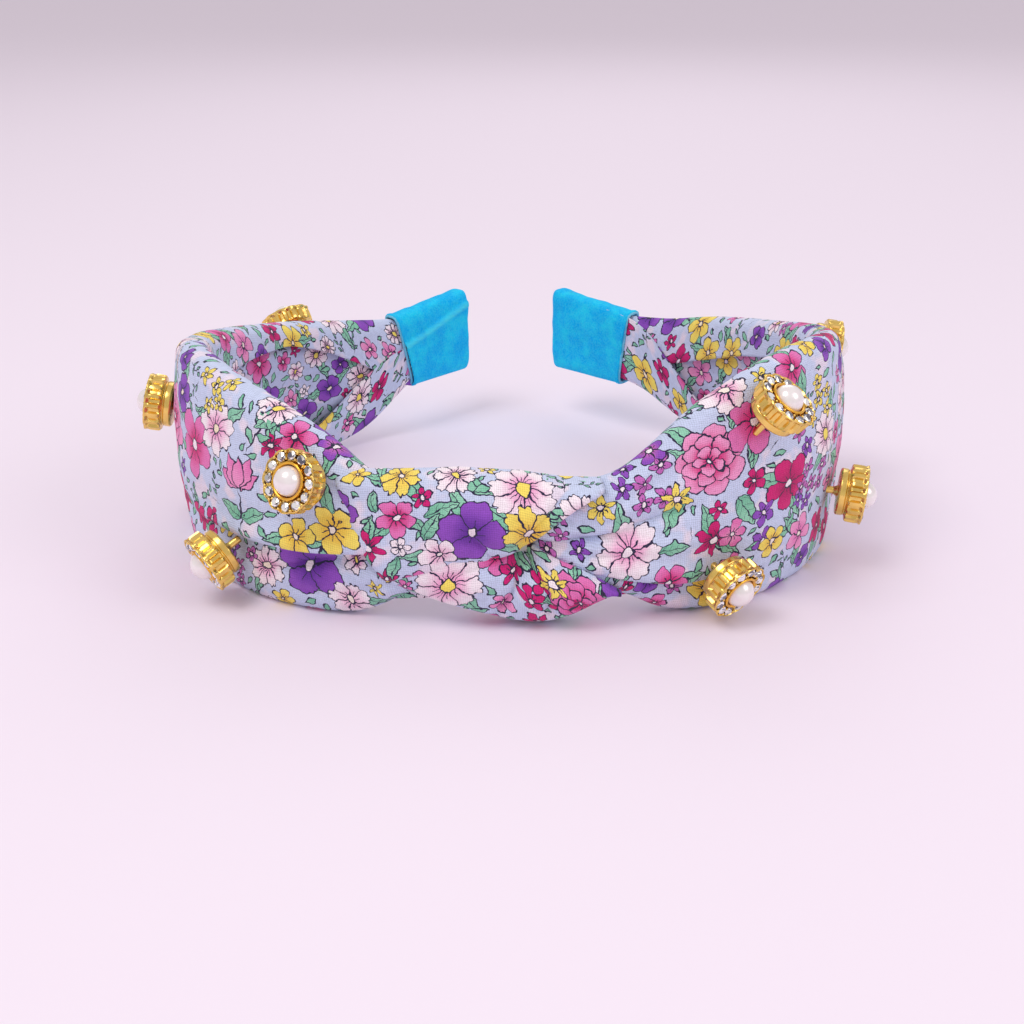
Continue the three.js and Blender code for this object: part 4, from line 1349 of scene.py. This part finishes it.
def crown_parts():
    """The fluted ring round the stones, scalloped at its rim, and the seat they stand on."""

    def crimp(angle, radius, height):
        if radius < 5.3:
            return radius
        pillar = min(1, max(0, 0.5 + 1.3 * math.cos(angle * FLUTES)))
        pillar = pillar * pillar * (3 - 2 * pillar)
        depth = 0.62 * min(1, max(0, (height - 2.4) / 0.4)) * min(1, max(0, (5.45 - height) / 0.5))
        scallop = 0.3 * (abs(math.cos(angle * STONES / 2)) - 0.6) * max(0, (height - 4.6) / 1.1)
        return radius - depth * (1 - pillar) + scallop

    wall = [(4.0, 2.4), (5.5, 2.4), (5.95, 2.55), (6.1, 2.8), (6.13, 3.4), (6.13, 4.1), (6.13, 4.7),
            (6.05, 5.0), (6.0, 5.3), (6.12, 5.6), (6.1, 5.85), (5.95, 5.95), (5.8, 5.75), (5.65, 5.3),
            (5.0, 5.1), (3.9, 5.1), (3.9, 4.5), (4.0, 2.4)]
    return revolve(wall, FLUTES * 12, crimp)


def claw_parts():
    """Two rings of small beads that grip the stones between each other."""
    beads = []
    for k in range(STONES):
        angle = (k + 0.5) * 2 * math.pi / STONES
        for ring, size in ((5.62, 0.34), (4.28, 0.27)):
            beads.append(ball((ring * math.cos(angle), ring * math.sin(angle), 5.72), size, 10, 6))
    return joined(beads)


def ball(centre, radius, segments, rings):
    outline = [(radius * math.sin(t), -radius * math.cos(t)) for t in np.linspace(0, math.pi, rings + 1)]
    outline[0], outline[-1] = (0.0, -radius), (0.0, radius)
    vertices, faces = revolve(outline, segments)
    return [(x + centre[0], y + centre[1], z + centre[2]) for x, y, z in vertices], faces


def stone_parts():
    """Twelve round brilliants: a table, crown facets and a pavilion."""
    stones = []
    rings = [(0.0, 0.55, 0), (0.52, 0.55, 0), (0.84, 0.28, 0.5), (1.0, 0.08, 0), (1.0, 0.0, 0),
             (0.0, -0.75, 0)]
    for k in range(STONES):
        angle = k * 2 * math.pi / STONES
        centre_x, centre_y = STONE_CIRCLE * math.cos(angle), STONE_CIRCLE * math.sin(angle)
        vertices, faces = [], []
        for r, z, half_step in rings:
            for j in range(8):
                turn = (j + half_step) * math.pi / 4 + 1.7 * k
                x, y = STONE_RADIUS * r * math.cos(turn), STONE_RADIUS * r * math.sin(turn)
                lift = z + 0.12 * (x * math.cos(2.4 * k) + y * math.sin(2.4 * k))
                vertices.append((x + centre_x, y + centre_y, 5.55 + lift))
        for ring in range(len(rings) - 1):
            for j in range(8):
                a, b = ring * 8 + j, ring * 8 + (j + 1) % 8
                faces += [(a, b, b + 8), (a, b + 8, a + 8)]
        stones.append((vertices, faces))
    return joined(stones)


def cup_parts():
    """The bowl that holds the pearl, with a rolled rim."""
    outline = rounded([
        (0, 2.6), (3.6, 2.6), (3.6, 5.2), (3.75, 5.7), (3.72, 6.05), (3.5, 6.2), (3.2, 6.05), (3.05, 5.6),
        (2.9, 4.6), (2.2, 3.2), (0, 3.0),
    ], 0.12)
    return revolve(outline, 64)


def button_matrix(name):
    """The button's own frame, from the middles of its plate and pearl, and its foot's height in it."""
    plate, pearl = (
        sum((v.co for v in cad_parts[f"button_{name}_{part}"].data.vertices), Vector())
        / len(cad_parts[f"button_{name}_{part}"].data.vertices)
        for part in ("plate", "pearl")
    )
    axis = (pearl - plate).normalized()
    along = [(v.co - plate).dot(axis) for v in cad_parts[f"button_{name}_plate"].data.vertices]
    turn = Vector((0, 0, 1)).rotation_difference(axis)
    base = plate + axis * (max(along) - PLATE_TOP * MM)
    foot = min(along) / MM - (max(along) / MM - PLATE_TOP)
    return Matrix.Translation(base) @ turn.to_matrix().to_4x4(), foot


def make_buttons(gold, deep_gold, crystal, pearl):
    round_pearl = ball((0, 0, PEARL_HEIGHT), PEARL_RADIUS, 56, 32)
    parts = {
        "plate": (small_mesh("plate", *plate_parts(), gold), "gold"),
        "crown": (small_mesh("crown", *crown_parts(), gold, sharp_degrees=50), "gold"),
        "claws": (small_mesh("claws", *claw_parts(), gold, sharp_degrees=80), "gold"),
        "stones": (small_mesh("stones", *stone_parts(), crystal, smooth=False), "crystal"),
        "cup": (small_mesh("cup", *cup_parts(), deep_gold), "gold"),
        "pearl": (small_mesh("pearl", *round_pearl, pearl, sharp_degrees=80), "pearl"),
    }
    for name in BUTTONS:
        matrix, foot = button_matrix(name)
        body = "left_arm" if name.endswith("left") else "right_arm"
        shank = small_mesh(f"shank_{name}", *shank_parts(foot - SHANK_SINK), gold)
        for part, (mesh, slot) in {**parts, "shank": (shank, "gold")}.items():
            made = new_object(f"button_{name}_{part}_look", mesh)
            made.matrix_world = matrix
            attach(made, body)
            if part not in ("claws", "shank"):
                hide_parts(f"button_{name}_{part}")


def gold_material(name, colour, roughness):
    material, g, shader = new_material(name, Metallic=1.0, Roughness=roughness)
    where = g.node("ShaderNodeTexCoord").outputs["Object"]
    tarnish = g.ramp(g.noise(where, 420, 3), 0.35, 0.75)
    darker = tuple(c * 0.82 for c in colour[:3]) + (1,)
    g.feed(shader.inputs["Base Color"], g.mix(tarnish, colour, darker))
    g.feed(shader.inputs["Roughness"], g.ramp(g.noise(where, 900, 3), 0.3, 0.8, roughness, roughness + 0.12))
    g.feed(shader.inputs["Normal"], g.bump(g.noise(where, 500, 2), 0.00001))
    return material


def pearl_material():
    material, g, shader = new_material(
        "pearl", Roughness=0.24, Metallic=0.3, Coat_Weight=1.0, Coat_Roughness=0.05,
        Specular_IOR_Level=0.7, Sheen_Weight=0.1, Sheen_Tint=srgb(255, 228, 236),
    )
    where = g.node("ShaderNodeTexCoord").outputs["Object"]
    cloud = g.ramp(g.noise(where, 420, 3), 0.3, 0.7)
    g.feed(shader.inputs["Base Color"], g.mix(cloud, srgb(250, 247, 244), srgb(245, 235, 235)))
    return material


def rounded_normal(g):
    """The flat normal in steps, so that it is one value over each facet."""
    steps = g.node("ShaderNodeVectorMath", operation="SNAP")
    g.feed(steps.inputs[0], g.node("ShaderNodeNewGeometry").outputs["True Normal"])
    steps.inputs[1].default_value = (0.02, 0.02, 0.02)
    return steps.outputs[0]


def crystal_material():
    """Clear cut stones: each facet's colour is set white or dark grey at random by its normal, a painted
    reflection of the light it throws back.
    """
    material, g, shader = new_material(
        "crystal", Metallic=0.75, Roughness=0.05, Coat_Weight=1.0, Coat_Roughness=0.02, Coat_IOR=1.7,
    )
    facet = g.node("ShaderNodeTexWhiteNoise", noise_dimensions="3D")
    g.feed(facet.inputs["Vector"], rounded_normal(g))
    # Each facet is painted white or dark grey: painted reflection.
    facet_reflection = g.ramp(facet.outputs["Value"], 0.25, 0.6)
    g.feed(shader.inputs["Base Color"], g.mix(facet_reflection, srgb(96, 92, 108), srgb(255, 255, 255)))
    return material


def plastic_material():
    material, g, shader = new_material("hoop_plastic", Roughness=0.42)
    where = g.node("ShaderNodeTexCoord").outputs["Object"]
    colour = g.mix(g.noise(where, 120, 3), srgb(236, 233, 228), srgb(222, 219, 214))
    g.feed(shader.inputs["Base Color"], colour)
    g.feed(shader.inputs["Normal"], g.bump(g.noise(where, 900, 3), 0.00004))
    return material


# ---- Assembly ---------------------------------------------------------------------------------


def bend_with(piece):
    """Bakes the cloth piece's transform into its mesh."""
    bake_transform(piece)


def main():
    make_camera()
    make_studio()
    group = motif_group()
    cotton = cotton_material("printed_cotton", srgb(204, 214, 242), srgb(236, 224, 240), group)
    # The lining's colours are a slightly darker copy of the cover cotton's: painted shade on the head side.
    lining = cotton_material("printed_lining", srgb(196, 205, 236), srgb(224, 214, 234), group)
    velvet = velvet_material("velvet", srgb(0, 181, 252), srgb(30, 213, 255), srgb(90, 232, 255))
    # The rolled hem is real, but its velvet is a paler copy: painted highlight along the folded edge.
    hem = velvet_material("velvet_hem_painted_highlight", srgb(90, 190, 230), srgb(130, 212, 240), srgb(170, 228, 248))
    for side in SIDES:
        cover = make_cover(side, cotton)
        bend_with(cover)
        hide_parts(f"cover_{side}")
        inner = make_lining(side, lining)
        bend_with(inner)
        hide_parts(f"lining_{side}", *(["lining_crown"] if side == "left" else []))
        sleeve = make_velvet(side, velvet)
        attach(sleeve, f"{side}_arm")
        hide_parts(f"velvet_sleeve_{side}")
        roll = make_hem(side, hem)
        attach(roll, f"{side}_arm")
    over = make_over_wrap(cotton)
    bend_with(over)
    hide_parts("knot_over_wrap")
    lower = make_lower_wrap(cotton)
    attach(lower, "crown")
    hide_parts("knot_under_wrap")
    plastic = plastic_material()
    for node in ("hoop_crown", "hoop_left_arm", "hoop_right_arm"):
        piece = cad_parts[node]
        piece.data.materials.clear()
        piece.data.materials.append(plastic)
    make_buttons(
        gold_material("gold", srgb(248, 210, 118), 0.17),
        gold_material("cup_gold", srgb(250, 192, 76), 0.18),
        crystal_material(), pearl_material(),
    )


main()
